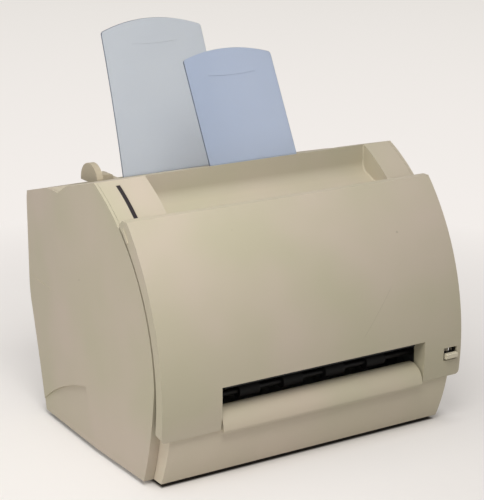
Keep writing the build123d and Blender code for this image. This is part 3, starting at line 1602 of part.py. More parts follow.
def right_paper_guide():
    """Right guide: fin, neck and lower rack."""
    x0 = right_fin_x
    x1 = x0 + fin_wall
    body = guide_fin(x0, x1, fin_right_top_z)
    neck = tray_block(x0, x1, rack_low - 1.25 * module - rack_bar + 1.5, rack_low - 1.25 * module,
                      rack_front - 0.5, fin_gap + 1)
    bar = rack(x1 - guide_out_travel - guide_in_travel - rack_reach, x1, rack_low, 1, paper_centre_x)
    return body + neck + bar


def guide_pinion():
    """Pinion between the two racks, on a post behind the back plate."""
    face = gear_face_outline(guide_pinion_teeth, 90 + 180 / guide_pinion_teeth)
    body = extrude(face, amount=rack_depth - 0.4)
    body -= Cylinder(post_bore, 20)
    return tray_plane * Pos(paper_centre_x, rack_along, rack_front - rack_depth + 0.2) * body


# Paper supports

def grip_outline():
    """Shallow lens shaped finger grip that is pressed into the front of a support."""
    left = (-grip_half, 0)
    right = (grip_half, 0)
    edges = ThreePointArc(left, (0, -grip_sag), right) + ThreePointArc(right, (0, -grip_upper_sag), left)
    return make_face(edges)


def front_paper_support():
    """Flat sheet with an arched top; a short upright foot stands in the slot of the ridge."""
    turn = math.radians(front_support_lean_deg)
    base_z = rim_z(front_support_y) + 1
    plane = Plane(origin=(paper_centre_x, front_support_y, base_z), x_dir=(1, 0, 0),
                  z_dir=(0, -math.cos(turn), math.sin(turn)))
    half = front_support_half
    side = front_support_length - front_support_rise
    edges = Polyline((-half, side), (-half, 0), (half, 0), (half, side))
    edges += ThreePointArc((-half, side), (0, front_support_length), (half, side))
    face = make_face(edges)
    face = fillet(face.vertices().group_by(Axis.Y)[-1], radius=support_corner)
    sheet = plane * Pos(0, 0, -support_sheet / 2) * extrude(face, amount=support_sheet)
    grip = extrude(grip_outline(), amount=2 * grip_depth)
    sheet -= plane * Pos(0, front_support_length - grip_below_top, support_sheet / 2 - grip_depth) * grip
    foot = block(paper_centre_x - half, paper_centre_x + half, front_support_y - support_sheet / 2,
                 front_support_y + support_sheet / 2, base_z - front_support_foot, base_z + 0.6)
    return sheet + foot


def rear_paper_support():
    """Curved sheet with an arched top and a straight foot in the hopper's sleeve."""
    half_sheet = support_sheet / 2
    base = rear_support_base
    turn = math.radians(rear_support_turn)
    tail = (base[0] - rear_support_foot * math.sin(turn), base[1] - rear_support_foot * math.cos(turn))
    upper = ThreePointArc(base, rear_support_middle, rear_support_top)
    path = Line(tail, base) + upper
    band = Wire(path.edges()).offset_2d(half_sheet)
    sheet = drawn(make_face(band), -far, far)
    half_top = rear_support_half
    half_low = rear_support_half + rear_support_flare
    top = rear_support_top[1]
    rise = rear_support_rise * math.cos(math.radians(rear_support_turn))
    edges = Polyline((-half_top, top - rise), (-half_low, base[1]), (-half_low, 0), (half_low, 0),
                     (half_low, base[1]), (half_top, top - rise))
    edges += ThreePointArc((-half_top, top - rise), (0, top), (half_top, top - rise))
    face = make_face(edges)
    face = fillet(face.vertices().group_by(Axis.Y)[-1], radius=support_corner)
    front = Plane(origin=(paper_centre_x, 0, 0), x_dir=(1, 0, 0), z_dir=(0, -1, 0))
    outline = front * Pos(0, 0, -far) * extrude(face, amount=2 * far)
    share = 1 - grip_below_top / upper.length
    spot = upper @ share
    along = upper % share
    face = Plane(origin=(paper_centre_x, spot.X, spot.Y), x_dir=(1, 0, 0), z_dir=(0, -along.Y, along.X))
    grip = face * Pos(0, 0, half_sheet - grip_depth) * extrude(grip_outline(), amount=2 * grip_depth)
    return (sheet & outline) - grip


# Electrics

def power_board():
    """Low board on the floor with transformer, capacitors and heat sink."""
    z = case_floor_z + 6
    body = block(-105, 60, 92, 196, z, z + board_wall)
    for x in (-100, 55):
        for y in (97, 191):
            body += Pos(x, y, case_floor_z + 3) * Cylinder(3, 6)
    body += block(-60, -25, 110, 145, z, z + 26)
    body += block(10, 15, 105, 185, z, z + 22)
    for y in (110, 132, 154):
        body += Pos(35, y, z + 12) * Cylinder(8, 24)
    return body + block(-95, -80, 150, 190, z, z + 14)


def controller_board():
    """Upright board outside the right frame."""
    x = controller_x
    body = block(x, x + board_wall, 62, 229, 60, 184)
    for y, z in board_spots:
        body -= rod(y, z, screw_shank, x - 1, x + board_wall + 1)
    for y0, z0, size, high in ((90, 100, 28, 2.5), (130, 95, 22, 2.5), (100, 145, 16, 2.5), (170, 105, 14, 9)):
        body += block(x, x + board_wall + high, y0, y0 + size, z0, z0 + size)
    return body


def power_inlet():
    """Mains inlet and switch well in one fitting on the floor, flush with the rear."""
    x0 = inlet_x - inlet_width / 2
    x1 = switch_x + switch_width / 2
    body = block(x0, x1, 205, rear_fit_y - 12, case_floor_z, inlet_top_z)
    body += block(x0, inlet_x + inlet_width / 2, 205, rear_fit_y, case_floor_z + seam, inlet_top_z)
    body += block(switch_x - switch_width / 2, x1, 205, rear_fit_y, case_floor_z + seam, inlet_top_z)
    body -= block(x0 + 3, inlet_x + inlet_width / 2 - 3, 213, rear_fit_y + 1, 12, inlet_top_z - 4)
    for x, z in ((-7, 23), (7, 23), (0, 28)):
        body += Pos(inlet_x + x, 218, z) * Rot(90, 0, 0) * Cylinder(1.6, 14)
    body -= block(switch_x - 6, switch_x + 6, 213, rear_fit_y + 1, 12, inlet_top_z - 3)
    return body - rod(switch_y, switch_z, 1.5, switch_x - 8.5, switch_x + 8.5)


def power_switch():
    """Rocker on a pin across its well."""
    body = rod(switch_y, switch_z, 1.45, switch_x - 7.5, switch_x + 7.5)
    face = polygon((1, -9.5), (9.0, -9), (7.5, 0), (9.0, 9), (1, 9.5), (-4, 0))
    turned = Pos(switch_y, switch_z) * Rot(0, 0, -switch_turn_deg / 2) * face
    return body + drawn(turned, switch_x - 5.5, switch_x + 5.5)


def parallel_connector():
    """Wide socket at the rear, soldered to the controller board's rear edge."""
    x0 = connector_x - connector_width / 2
    x1 = connector_x + connector_width / 2
    z0 = connector_low_z
    z1 = connector_high_z
    rear = rear_surface_y((z0 + z1) / 2) - 1
    body = block(x0, x1, 229 + seam, rear, z0, z1)
    body -= block(x0 + 2, x1 - 2, rear - 9, rear + 1, z0 + 5, z1 - 5)
    return body + block(x0 + 4.5, x1 - 4.5, rear - 10, rear - 2, z0 + 8, z1 - 8)


def fan_frame():
    """Square fan frame standing on the floor behind the vents."""
    z = case_floor_z + fan_size / 2
    y = fan_front_y + fan_depth / 2
    half = fan_size / 2
    body = block(fan_x - half, fan_x + half, fan_front_y, fan_front_y + fan_depth, z - half, z + half)
    body -= Pos(fan_x, y, z) * Rot(90, 0, 0) * Cylinder(half - 2, fan_depth + 2)
    for turn in (0, 120, 240):
        arm = Pos(fan_x, fan_front_y + 1.5, z) * Rot(0, turn, 0) * Pos(half / 2, 0, 0) * Box(half, 3, 4)
        body += arm & block(fan_x - half, fan_x + half, fan_front_y, fan_front_y + 3, z - half, z + half)
    body += Pos(fan_x, fan_front_y + 1.5, z) * Rot(90, 0, 0) * Cylinder(13, 3)
    return body + Pos(fan_x, fan_front_y + 8, z) * Rot(90, 0, 0) * Cylinder(post_radius, 12)


def fan_impeller():
    """Seven blades on a hub."""
    z = case_floor_z + fan_size / 2
    y = fan_front_y + 11
    half = fan_size / 2 - 3
    body = Pos(fan_x, y, z) * Rot(90, 0, 0) * Cylinder(12, 14)
    for index in range(7):
        blade = Pos(0, 0, half / 2 + 5) * Rot(0, 0, 35) * Box(1.5, 14, half - 10)
        body += Pos(fan_x, y, z) * Rot(0, index * 360 / 7, 0) * blade
    return body - Pos(fan_x, y - 3, z) * Rot(90, 0, 0) * Cylinder(post_bore, 12)


def indicator_lens():
    return slit(0.0, lens_depth + lens_sink, 0.1) - slit(0.0, lens_sink, 0.0)


# The pieces by name

def all_pieces():
    hollows = spring_hollows()
    well = hopper()
    for hollow in hollows:
        well -= hollow
    return {
        "base": base(),
        "output_ramp": output_ramp(),
        "left_side_cover": side_cover(-1),
        "right_side_cover": side_cover(1),
        "top_cover": top_cover(),
        "rear_cover": rear_cover(),
        "rubber_feet": rubber_feet(),
        "front_cover": front_cover(),
        "cover_guide": cover_guide(),
        "hinge_pins": hinge_pins(),
        "output_selector": output_selector(),
        "diverter_flap": diverter_flap(),
        "eject_pinch": eject_pinch(),
        "hopper": well,
        "lift_plate": lift_plate(),
        "lift_springs": lift_springs(),
        "separation_pad": separation_pad(),
        "left_paper_guide": left_paper_guide(),
        "right_paper_guide": right_paper_guide(),
        "guide_pinion": guide_pinion(),
        "front_paper_support": front_paper_support(),
        "rear_paper_support": rear_paper_support(),
        "indicator_lens": indicator_lens(),
        "left_frame": left_frame(),
        "right_frame": right_frame(),
        "frame_stays": frame_stays(),
        "screws": screws(),
        "main_motor": main_motor(),
        "motor_pinion": motor_pinion(),
        "compound_gear": compound_gear(),
        "lower_idler_gear": lower_idler_gear(),
        "fuser_idler_gear": fuser_idler_gear(),
        "delivery_idler_gear": delivery_idler_gear(),
        "pickup_idler_gear": pickup_idler_gear(),
        "eject_idler_gear": eject_idler_gear(),
        "photo_drum": photo_drum(),
        "drum_gears": drum_gears(),
        "developer_roller": developer_roller(),
        "transfer_roller": transfer_roller(),
        "registration_roller": registration_roller(),
        "registration_pinch": registration_pinch(),
        "pressure_roller": pressure_roller(),
        "fuser_film": fuser_film(),
        "fuser_cover": fuser_cover(),
        "delivery_roller": delivery_roller(),
        "delivery_pinch": delivery_pinch(),
        "eject_roller": eject_roller(),
        "pickup_roller": pickup_roller(),
        "toner_cartridge": toner_cartridge(),
        "scanner_housing": scanner_housing(),
        "scanner_motor": scanner_motor(),
        "polygon_mirror": polygon_mirror(),
        "scan_optics": scan_optics(),
        "power_board": power_board(),
        "controller_board": controller_board(),
        "power_inlet": power_inlet(),
        "power_switch": power_switch(),
        "parallel_connector": parallel_connector(),
        "fan_frame": fan_frame(),
        "fan_impeller": fan_impeller(),
    }


def write_pieces():
    """Moves the origin under the middle of the printer and writes one file per piece."""
    pieces = all_pieces()
    boxes = [shape.bounding_box() for shape in pieces.values()]
    middle_x = (min(box.min.X for box in boxes) + max(box.max.X for box in boxes)) / 2
    middle_y = (min(box.min.Y for box in boxes) + max(box.max.Y for box in boxes)) / 2
    os.makedirs("parts", exist_ok=True)
    for name, shape in pieces.items():
        export_step(Pos(-middle_x, -middle_y, 0) * shape, f"parts/{name}.step")
    return middle_x, middle_y


origin_shift = write_pieces()
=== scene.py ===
import bpy
import bmesh
import math
from mathutils import Matrix, Vector


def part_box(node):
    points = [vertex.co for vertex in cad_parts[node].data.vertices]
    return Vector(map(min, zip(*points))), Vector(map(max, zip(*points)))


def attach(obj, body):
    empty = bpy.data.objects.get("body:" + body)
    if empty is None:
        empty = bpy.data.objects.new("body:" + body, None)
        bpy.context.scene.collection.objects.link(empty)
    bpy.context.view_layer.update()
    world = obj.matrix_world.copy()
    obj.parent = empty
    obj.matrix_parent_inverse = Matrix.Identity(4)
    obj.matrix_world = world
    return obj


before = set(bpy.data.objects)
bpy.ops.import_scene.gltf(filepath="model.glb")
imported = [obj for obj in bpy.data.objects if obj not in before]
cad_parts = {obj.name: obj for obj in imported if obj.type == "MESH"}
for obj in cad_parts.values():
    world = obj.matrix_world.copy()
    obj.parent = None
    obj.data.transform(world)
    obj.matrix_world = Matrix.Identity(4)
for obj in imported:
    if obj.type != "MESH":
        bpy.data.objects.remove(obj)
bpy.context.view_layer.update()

# Base and sill
# One moulding of flame retardant ABS that carries everything else, and the ramp that
# snaps into its sill. The mould is spark eroded, which leaves a fine even grain.

mm_per_metre = 1000
abs_index = 1.53
drift_mm = 125.0
drift_low = 0.35
drift_high = 0.65
grain_sharpness = 0.6


def linear(hex_colour):
    """An sRGB hex colour as the linear values a shader takes, by the standard curve."""
    values = [int(hex_colour[i:i + 2], 16) / 255 for i in (1, 3, 5)]
    bent = [v / 12.92 if v <= 0.04045 else ((v + 0.055) / 1.055) ** 2.4 for v in values]
    return (*bent, 1.0)


def add_node(material, kind, settings=None, inputs=None):
    """Adds a node; a value that is a node or a socket is linked, any other is set."""
    node = material.node_tree.nodes.new(kind)
    for key, value in (settings or {}).items():
        setattr(node, key, value)
    for key, value in (inputs or {}).items():
        if isinstance(value, bpy.types.Node):
            value = value.outputs[0]
        if isinstance(value, bpy.types.NodeSocket):
            material.node_tree.links.new(value, node.inputs[key])
        else:
            node.inputs[key].default_value = value
    return node


def new_material(name, surface):
    """A material whose Principled shader takes the given surface values, and that shader."""
    material = bpy.data.materials.new(name)
    material.use_nodes = True
    material.node_tree.nodes.clear()
    shader = add_node(material, "ShaderNodeBsdfPrincipled", inputs=surface)
    add_node(material, "ShaderNodeOutputMaterial", inputs={"Surface": shader})
    return material, shader


def object_place(material):
    return add_node(material, "ShaderNodeTexCoord").outputs["Object"]


def maths(material, operation, *values):
    return add_node(material, "ShaderNodeMath", {"operation": operation}, dict(enumerate(values)))


def vector_maths(material, operation, *values):
    return add_node(material, "ShaderNodeVectorMath", {"operation": operation}, dict(enumerate(values)))


def noise(material, place, size_mm, detail=2.0, sharpness=0.5):
    """Soft noise in patches of about the given size."""
    node = add_node(material, "ShaderNodeTexNoise",
                    inputs={"Vector": place, "Scale": mm_per_metre / size_mm, "Detail": detail,
                            "Roughness": sharpness})
    return node.outputs["Fac"]


def ramp(material, value, start, end, low=0.0, high=1.0):
    """Straight change from low at the start of a range to high at its end."""
    return add_node(material, "ShaderNodeMapRange",
                    inputs={"Value": value, "From Min": start, "From Max": end, "To Min": low,
                            "To Max": high})


def mixed(material, factor, low, high):
    """A colour between two; each is a hex string or the colour that another node gives."""
    mix = add_node(material, "ShaderNodeMix", {"data_type": "RGBA"}, {"Factor": factor})
    for letter, colour in (("A", low), ("B", high)):
        if isinstance(colour, str):
            mix.inputs[letter].default_value = linear(colour)
        else:
            material.node_tree.links.new(colour, mix.inputs[letter])
    return mix.outputs["Result"]


def drive(material, shader, name, value):
    """Lets a node set one of the shader's inputs."""
    material.node_tree.links.new(value, shader.inputs[name])


def relief(material, shader, height, depth_mm):
    """Surface relief whose full height is the given depth."""
    bump = add_node(material, "ShaderNodeBump",
                    inputs={"Height": height, "Distance": depth_mm / mm_per_metre, "Strength": 1.0})
    drive(material, shader, "Normal", bump.outputs["Normal"])


def moulded_abs(name, rosy_hex, greenish_hex, roughness, grain_mm, depth_mm, marks=None):
    """Moulded ABS: a slow drift between two close tones from age, and the mould's grain.

    The function given as marks takes that colour and gives it back with marks on it.
    """
    material, shader = new_material(name, {"Roughness": roughness, "IOR": abs_index})
    place = object_place(material)
    drift = ramp(material, noise(material, place, drift_mm), drift_low, drift_high)
    colour = mixed(material, drift, rosy_hex, greenish_hex)
    if marks:
        colour = marks(material, colour)
    drive(material, shader, "Base Color", colour)
    relief(material, shader, noise(material, place, grain_mm, sharpness=grain_sharpness), depth_mm)
    return material


def finish_nodes(material, *nodes):
    """Gives CAD nodes their material through their own slots."""
    for node in nodes:
        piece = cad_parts[node]
        if not piece.material_slots:
            piece.data.materials.append(material)
        for slot in piece.material_slots:
            slot.material = material


# The grain is about half a millimetre, drawn twice as coarse so that it shows.
# Base and ramp are the same ABS as the case covers; their colours are written lighter than the covers' as
# painted light, for the light that falls on them.
base_abs_painted_lighter = moulded_abs("base ABS, spark grained, painted lighter", rosy_hex="#DFD3C0", greenish_hex="#D8D0B9",
                       roughness=0.6, grain_mm=1.0, depth_mm=0.05)
ramp_abs_painted_lighter = moulded_abs("ramp ABS, rubbed by paper, painted lighter", rosy_hex="#D0C3B0", greenish_hex="#C8C1A9",
                       roughness=0.55, grain_mm=1.0, depth_mm=0.04)
finish_nodes(base_abs_painted_lighter, "base")
finish_nodes(ramp_abs_painted_lighter, "output_ramp")

# Rubber feet
# Four round feet of black nitrile rubber pressed into the floor. Rubber is matte, with
# a slight dusty bloom on its flat faces.

rubber_index = 1.52
bloom_detail = 6.0
bloom_sharpness = 0.7


def moulded_rubber(name, hex_colour, dust_hex, roughness, bloom_mm, depth_mm):
    """Moulded rubber: near black, with a pale dusty bloom in patches."""
    material, shader = new_material(name, {"Roughness": roughness, "IOR": rubber_index})
    bloom = noise(material, object_place(material), bloom_mm, bloom_detail, bloom_sharpness)
    drive(material, shader, "Base Color", mixed(material, bloom, hex_colour, dust_hex))
    relief(material, shader, bloom, depth_mm)
    return material


finish_nodes(moulded_rubber("black nitrile rubber", hex_colour="#161514", dust_hex="#2B2927",
                            roughness=0.82, bloom_mm=4.0, depth_mm=0.08), "rubber_feet")

# Side frames, stays and bracket
# Pressed from galvanised sheet steel and folded. Zinc gives pale spangle patches of a few
# millimetres over a dull metallic grey.

spangle_gloss_change = 0.08


def galvanised_steel(name, hex_colour, spangle_hex, spangle_mm, roughness):
    """Zinc plated sheet: crystal patches that differ a little in tone and gloss."""
    material, shader = new_material(name, {"Metallic": 1.0})
    spangle = add_node(material, "ShaderNodeTexVoronoi",
                       inputs={"Vector": object_place(material), "Scale": mm_per_metre / spangle_mm,
                               "Randomness": 1.0})
    tone = add_node(material, "ShaderNodeSeparateColor", inputs={"Color": spangle.outputs["Color"]})
    drive(material, shader, "Base Color", mixed(material, tone.outputs["Red"], hex_colour, spangle_hex))
    gloss = ramp(material, tone.outputs["Green"], 0.0, 1.0,
                 roughness - spangle_gloss_change, roughness + spangle_gloss_change)
    drive(material, shader, "Roughness", gloss.outputs["Result"])
    return material


frame_steel = galvanised_steel("galvanised sheet steel", hex_colour="#74787A", spangle_hex="#8A8D8F",
                               spangle_mm=5.0, roughness=0.6)
finish_nodes(frame_steel, "left_frame", "right_frame", "frame_stays")

# Screws, hinge pins, lift plate and springs
# Turned, stamped and drawn steel parts, zinc plated, finer and brighter than the sheet.
# The screws hold the frames and covers, and the springs press the plate up.

bright_steel = galvanised_steel("bright zinc plated steel", hex_colour="#A2A5A6", spangle_hex="#B8BABA",
                                spangle_mm=1.5, roughness=0.42)
finish_nodes(bright_steel, "screws", "hinge_pins", "lift_springs", "lift_plate")

# Main motor and scanner motor
# Drawn steel cans with a black lacquer, screwed to their brackets. The lacquer ripples
# faintly and has worn paler in patches.

ripple_detail = 4.0


def lacquered_metal(name, hex_colour, worn_hex, roughness, coat, ripple_mm, depth_mm):
    """Lacquered can: faint ripple of the lacquer, slightly worn in patches."""
    material, shader = new_material(name, {"Roughness": roughness, "Coat Weight": coat})
    ripple = noise(material, object_place(material), ripple_mm, ripple_detail)
    drive(material, shader, "Base Color", mixed(material, ripple, hex_colour, worn_hex))
    relief(material, shader, ripple, depth_mm)
    return material


motor_lacquer = lacquered_metal("black lacquered steel", hex_colour="#1C1D1F", worn_hex="#303234",
                                roughness=0.4, coat=0.3, ripple_mm=3.0, depth_mm=0.03)
finish_nodes(motor_lacquer, "main_motor", "scanner_motor")

# Gears and pinions
# Natural acetal, moulded without colour, so it is a milky white that is slightly waxy.
# Each turns on a post of the left frame or is part of the shaft that it drives.

acetal_index = 1.48
acetal_hex = "#E4E1D6"
acetal_shade_hex = "#D6D2C4"
cloud_mm = 11.11
cloud_detail = 3.0


def natural_acetal(name, roughness, depth_mm):
    """Unfilled acetal: milky, waxy gloss, with faint clouds."""
    material, shader = new_material(name, {"Roughness": roughness, "IOR": acetal_index})
    cloud = noise(material, object_place(material), cloud_mm, cloud_detail)
    drive(material, shader, "Base Color", mixed(material, cloud, acetal_hex, acetal_shade_hex))
    relief(material, shader, cloud, depth_mm)
    return material


gear_acetal = natural_acetal("natural acetal", roughness=0.34, depth_mm=0.02)
finish_nodes(gear_acetal, "compound_gear", "lower_idler_gear", "fuser_idler_gear", "delivery_idler_gear",
             "pickup_idler_gear", "eject_idler_gear", "drum_gears", "guide_pinion", "motor_pinion")

# Rollers
# Rubber or foam sleeves on steel shafts, black acetal shafts for the pairs that push the
# sheet out. Those that are driven carry an acetal gear at the end outside the left frame.

shaft_radius = 0.003
shaft_margin = 1.1
gear_side_x = -0.125
sleeve_roughness = 0.75
sleeve_depth_mm = 0.05
dust_detail = 4.0
steel_shaft = {"tones": ("#A6A9AA", "#B8BBBB"), "roughness": 0.3, "metal": 1.0}
acetal_shaft = {"tones": ("#0A0A0A", "#0E0D0D"), "roughness": 0.6, "metal": 0.0}


def turned_roller(node, sleeve_tones, dust_mm, shaft):
    """Shaft, sleeve and gear, told apart by their distance from the roller's axis."""
    low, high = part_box(node)
    axis = (0.0, (low[1] + high[1]) / 2, (low[2] + high[2]) / 2)
    material, shader = new_material("sleeve, shaft and gear of " + node.replace("_", " "), {})
    place = object_place(material)
    across = vector_maths(material, "MULTIPLY", place, (0, 1, 1))
    away = vector_maths(material, "DISTANCE", across, axis).outputs["Value"]
    sleeve = maths(material, "GREATER_THAN", away, shaft_radius * shaft_margin)
    along = add_node(material, "ShaderNodeSeparateXYZ", inputs={"Vector": place}).outputs["X"]
    gear = maths(material, "LESS_THAN", along, gear_side_x)
    dust = noise(material, place, dust_mm, dust_detail)
    rubber = mixed(material, dust, *sleeve_tones)
    acetal = mixed(material, dust, acetal_hex, acetal_shade_hex)
    bare = mixed(material, dust, *shaft["tones"])
    turned = mixed(material, gear, rubber, acetal)
    drive(material, shader, "Base Color", mixed(material, sleeve, bare, turned))
    relief(material, shader, dust, sleeve_depth_mm)
    gloss = ramp(material, sleeve, 0.0, 1.0, shaft["roughness"], sleeve_roughness)
    metal = ramp(material, sleeve, 0.0, 1.0, shaft["metal"], 0.0)
    drive(material, shader, "Roughness", gloss.outputs["Result"])
    drive(material, shader, "Metallic", metal.outputs["Result"])
    finish_nodes(material, node)


for node in ("registration_roller", "registration_pinch", "pressure_roller"):
    turned_roller(node, ("#0C0B0B", "#131211"), dust_mm=2.0, shaft=steel_shaft)
for node in ("delivery_roller", "delivery_pinch", "eject_roller", "eject_pinch"):
    turned_roller(node, ("#0A0A0A", "#0F0E0E"), dust_mm=2.0, shaft=acetal_shaft)
for node in ("pickup_roller", "transfer_roller", "developer_roller"):
    turned_roller(node, ("#3A3836", "#4A4744"), dust_mm=1.2, shaft=steel_shaft)

# Photo drum and fuser film
# The drum is an aluminium tube with a blue green organic coating, dipped and so perfectly
# smooth; the fuser film is a dark polyimide sleeve.

band_scale = 12.0
band_distortion = 2.0
band_detail = 2.0


def dipped_coating(name, hex_colour, shade_hex, roughness, coat):
    """Dip coated tube: even colour with faint bands along the tube, high gloss."""
    material, shader = new_material(name, {"Roughness": roughness, "Coat Weight": coat})
    band = add_node(material, "ShaderNodeTexWave", {"bands_direction": "X"},
                    {"Vector": object_place(material), "Scale": band_scale,
                     "Distortion": band_distortion, "Detail": band_detail})
    drive(material, shader, "Base Color", mixed(material, band.outputs["Fac"], hex_colour, shade_hex))
    return material


drum_coating = dipped_coating("blue green organic coating", "#1E5A60", "#236770", roughness=0.12, coat=0.6)
film_coating = dipped_coating("dark polyimide film", "#2A1E16", "#33261C", roughness=0.12, coat=0.6)
finish_nodes(drum_coating, "photo_drum")
finish_nodes(film_coating, "fuser_film")

# Inner mouldings
# Cartridge shell, fuser cover, scanner box, paper guide of the cover and diverter flap are
# black glass filled plastic; the fan is moulded in the same, a little glossier.

inner_plastic = moulded_abs("black glass filled plastic", rosy_hex="#111112", greenish_hex="#0C0C0D",
                            roughness=0.62, grain_mm=1.6, depth_mm=0.04)
fan_plastic = moulded_abs("black fan plastic", rosy_hex="#222225", greenish_hex="#1A1A1D",
                          roughness=0.36, grain_mm=1.4, depth_mm=0.02)
finish_nodes(inner_plastic, "toner_cartridge", "fuser_cover", "scanner_housing", "cover_guide",
             "diverter_flap")
finish_nodes(fan_plastic, "fan_frame", "fan_impeller")

# Scanner mirror and optics
# The polygon is diamond cut aluminium on the scanner motor. Lens and fold mirror are clear
# acrylic and glass, clipped into the scanner box.

streak_scale = 900.0
streak_distortion = 0.5
cut_roughness = 0.08
acrylic_index = 1.49
flow_mm = 25.0


def cut_metal(name, hex_colour, streak_hex):
    """Fine cut metal: streaks of the cutter, nearly a mirror."""
    material, shader = new_material(name, {"Metallic": 1.0, "Roughness": cut_roughness})
    streak = add_node(material, "ShaderNodeTexWave", {"bands_direction": "Z"},
                      {"Vector": object_place(material), "Scale": streak_scale,
                       "Distortion": streak_distortion})
    drive(material, shader, "Base Color", mixed(material, streak.outputs["Fac"], hex_colour, streak_hex))
    return material


def clear_plastic(name, hex_colour, shade_hex, roughness, clearness):
    """Clear moulding: light passes, with faint flow lines in the colour."""
    material, shader = new_material(name, {"Roughness": roughness, "Transmission Weight": clearness,
                                           "IOR": acrylic_index})
    flow = noise(material, object_place(material), flow_mm)
    drive(material, shader, "Base Color", mixed(material, flow, hex_colour, shade_hex))
    return material


finish_nodes(cut_metal("diamond cut aluminium", "#D7DADC", "#C9CDCF"), "polygon_mirror")
finish_nodes(clear_plastic("clear acrylic", "#E8EEF2", "#DDE6EC", roughness=0.05, clearness=0.85),
             "scan_optics")

# Separation pad
# A block of cork and rubber mix glued on the shelf under the pickup roller. It holds back
# all sheets but the top one.


def cork_mix(name, hex_colour, grain_hex, roughness, grain_mm, depth_mm):
    """Pressed cork granules in rubber."""
    material, shader = new_material(name, {"Roughness": roughness})
    grain = add_node(material, "ShaderNodeTexVoronoi",
                     inputs={"Vector": object_place(material), "Scale": mm_per_metre / grain_mm})
    drive(material, shader, "Base Color", mixed(material, grain.outputs["Distance"], hex_colour, grain_hex))
    relief(material, shader, grain.outputs["Distance"], depth_mm)
    return material


finish_nodes(cork_mix("cork and rubber mix", hex_colour="#6B4A30", grain_hex="#8D6A48", roughness=0.9,
                      grain_mm=1.5, depth_mm=0.15), "separation_pad")

# Circuit boards
# Glass epoxy boards under green solder mask, with the tracks showing as a lighter net. The
# transformer, capacitors and chips that stand on them are dark mouldings.

board_wall = 0.0016
board_margin = 1.05
power_board_lift = 0.006
track_gap = 0.03
component_mm = 16.67
mask_hex = "#20492B"
mask_shade_hex = "#1D4428"
track_hex = "#3A7345"
component_hexes = ("#17181A", "#34302A")


def masked_board(name, axis, face, track_mm, roughness, coat):
    """Solder mask over tracks up to the board's face; what stands beyond the face is dark."""
    material, shader = new_material(name, {"Roughness": roughness, "Coat Weight": coat})
    place = object_place(material)
    track = add_node(material, "ShaderNodeTexBrick", {"offset": 0.5},
                     {"Vector": place, "Scale": mm_per_metre / track_mm, "Mortar Size": track_gap,
                      "Color1": linear(mask_hex), "Color2": linear(mask_shade_hex),
                      "Mortar": linear(track_hex)})
    parts = mixed(material, noise(material, place, component_mm), *component_hexes)
    split = add_node(material, "ShaderNodeSeparateXYZ", inputs={"Vector": place})
    beyond = maths(material, "GREATER_THAN", split.outputs[axis], face)
    drive(material, shader, "Base Color", mixed(material, beyond, track.outputs["Color"], parts))
    return material


power_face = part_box("power_board")[0][2] + power_board_lift + board_wall * board_margin
controller_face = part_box("controller_board")[0][0] + board_wall * board_margin
finish_nodes(masked_board("solder mask of the power board", "Z", power_face, track_mm=12.0,
                          roughness=0.35, coat=0.5), "power_board")
finish_nodes(masked_board("solder mask of the controller", "X", controller_face, track_mm=9.0,
                          roughness=0.35, coat=0.5), "controller_board")

# Mains inlet and switch
# The inlet is a black polyamide fitting with three nickel plated pins; the rocker beside it
# is the same black, rubbed smooth where fingers press it.

inlet_x = -0.125
pin_middle_y = 0.0819
pin_places = ((-0.007, 0.023), (0.007, 0.023), (0.0, 0.028))
pin_radius = 0.00165
pin_length = 0.0124
pin_sides = 24
pin_rounding = 0.3
same_place = 1e-6

inlet_plastic = moulded_abs("black polyamide", rosy_hex="#202023", greenish_hex="#18181B",
                            roughness=0.48, grain_mm=1.2, depth_mm=0.03)
rocker_plastic = moulded_abs("black polyamide, rubbed smooth", rosy_hex="#252528", greenish_hex="#1D1D20",
                             roughness=0.3, grain_mm=1.2, depth_mm=0.01)
finish_nodes(inlet_plastic, "power_inlet")
finish_nodes(rocker_plastic, "power_switch")


def new_piece(name, mesh, body, material):
    """A finished bmesh as an object at the origin that rides on a body of the frame."""
    data = bpy.data.meshes.new(name)
    mesh.to_mesh(data)
    mesh.free()
    data.materials.append(material)
    piece = bpy.data.objects.new(name, data)
    bpy.context.scene.collection.objects.link(piece)
    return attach(piece, body)


pins = bmesh.new()
lying = Matrix.Rotation(math.pi / 2, 4, "X")
for across, height in pin_places:
    place = Matrix.Translation((inlet_x + across, pin_middle_y, height)) @ lying
    bmesh.ops.create_cone(pins, cap_ends=True, segments=pin_sides, radius1=pin_radius, radius2=pin_radius,
                          depth=pin_length, matrix=place)
end_y = pin_middle_y + pin_length / 2
end_rings = [edge for edge in pins.edges if all(abs(v.co.y - end_y) < same_place for v in edge.verts)]
bmesh.ops.bevel(pins, geom=end_rings, offset=pin_radius * pin_rounding, affect="EDGES", segments=2,
                profile=0.5, material=-1)
new_piece("inlet_pins", pins, "chassis", cut_metal("nickel plated brass", "#C9C6BC", "#B5B2A8"))

# Parallel connector
# A black ribbon socket, soldered to the controller board. Its tongue carries a row of gilt
# spring contacts on each face.

contact_count = 18
contact_pitch = 0.00216
contact_width = 0.0009
contact_thickness = 0.0003
contact_length = 0.0055
contact_set_back = 0.0024
tongue_half = 0.0015
finish_nodes(inlet_plastic, "parallel_connector")

low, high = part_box("parallel_connector")
tongue_x = (low[0] + high[0]) / 2
row_middle_z = (low[2] + high[2]) / 2
contact_y = high[1] - contact_set_back - contact_length / 2
contact_size = Matrix.Diagonal((contact_thickness, contact_length, contact_width, 1.0))
contacts = bmesh.new()
for side in (-1, 1):
    for index in range(contact_count):
        z = row_middle_z + (index - (contact_count - 1) / 2) * contact_pitch
        place = Matrix.Translation((tongue_x + side * tongue_half, contact_y, z))
        bmesh.ops.create_cube(contacts, size=1.0, matrix=place @ contact_size)
new_piece("ribbon_contacts", contacts, "chassis", cut_metal("gilt spring bronze", "#C8A24E", "#B98F3E"))

# Hopper and paper guides
# The paper well is the same warm grey ABS as the case; the guides are moulded in it too,
# smoother where the paper slides.

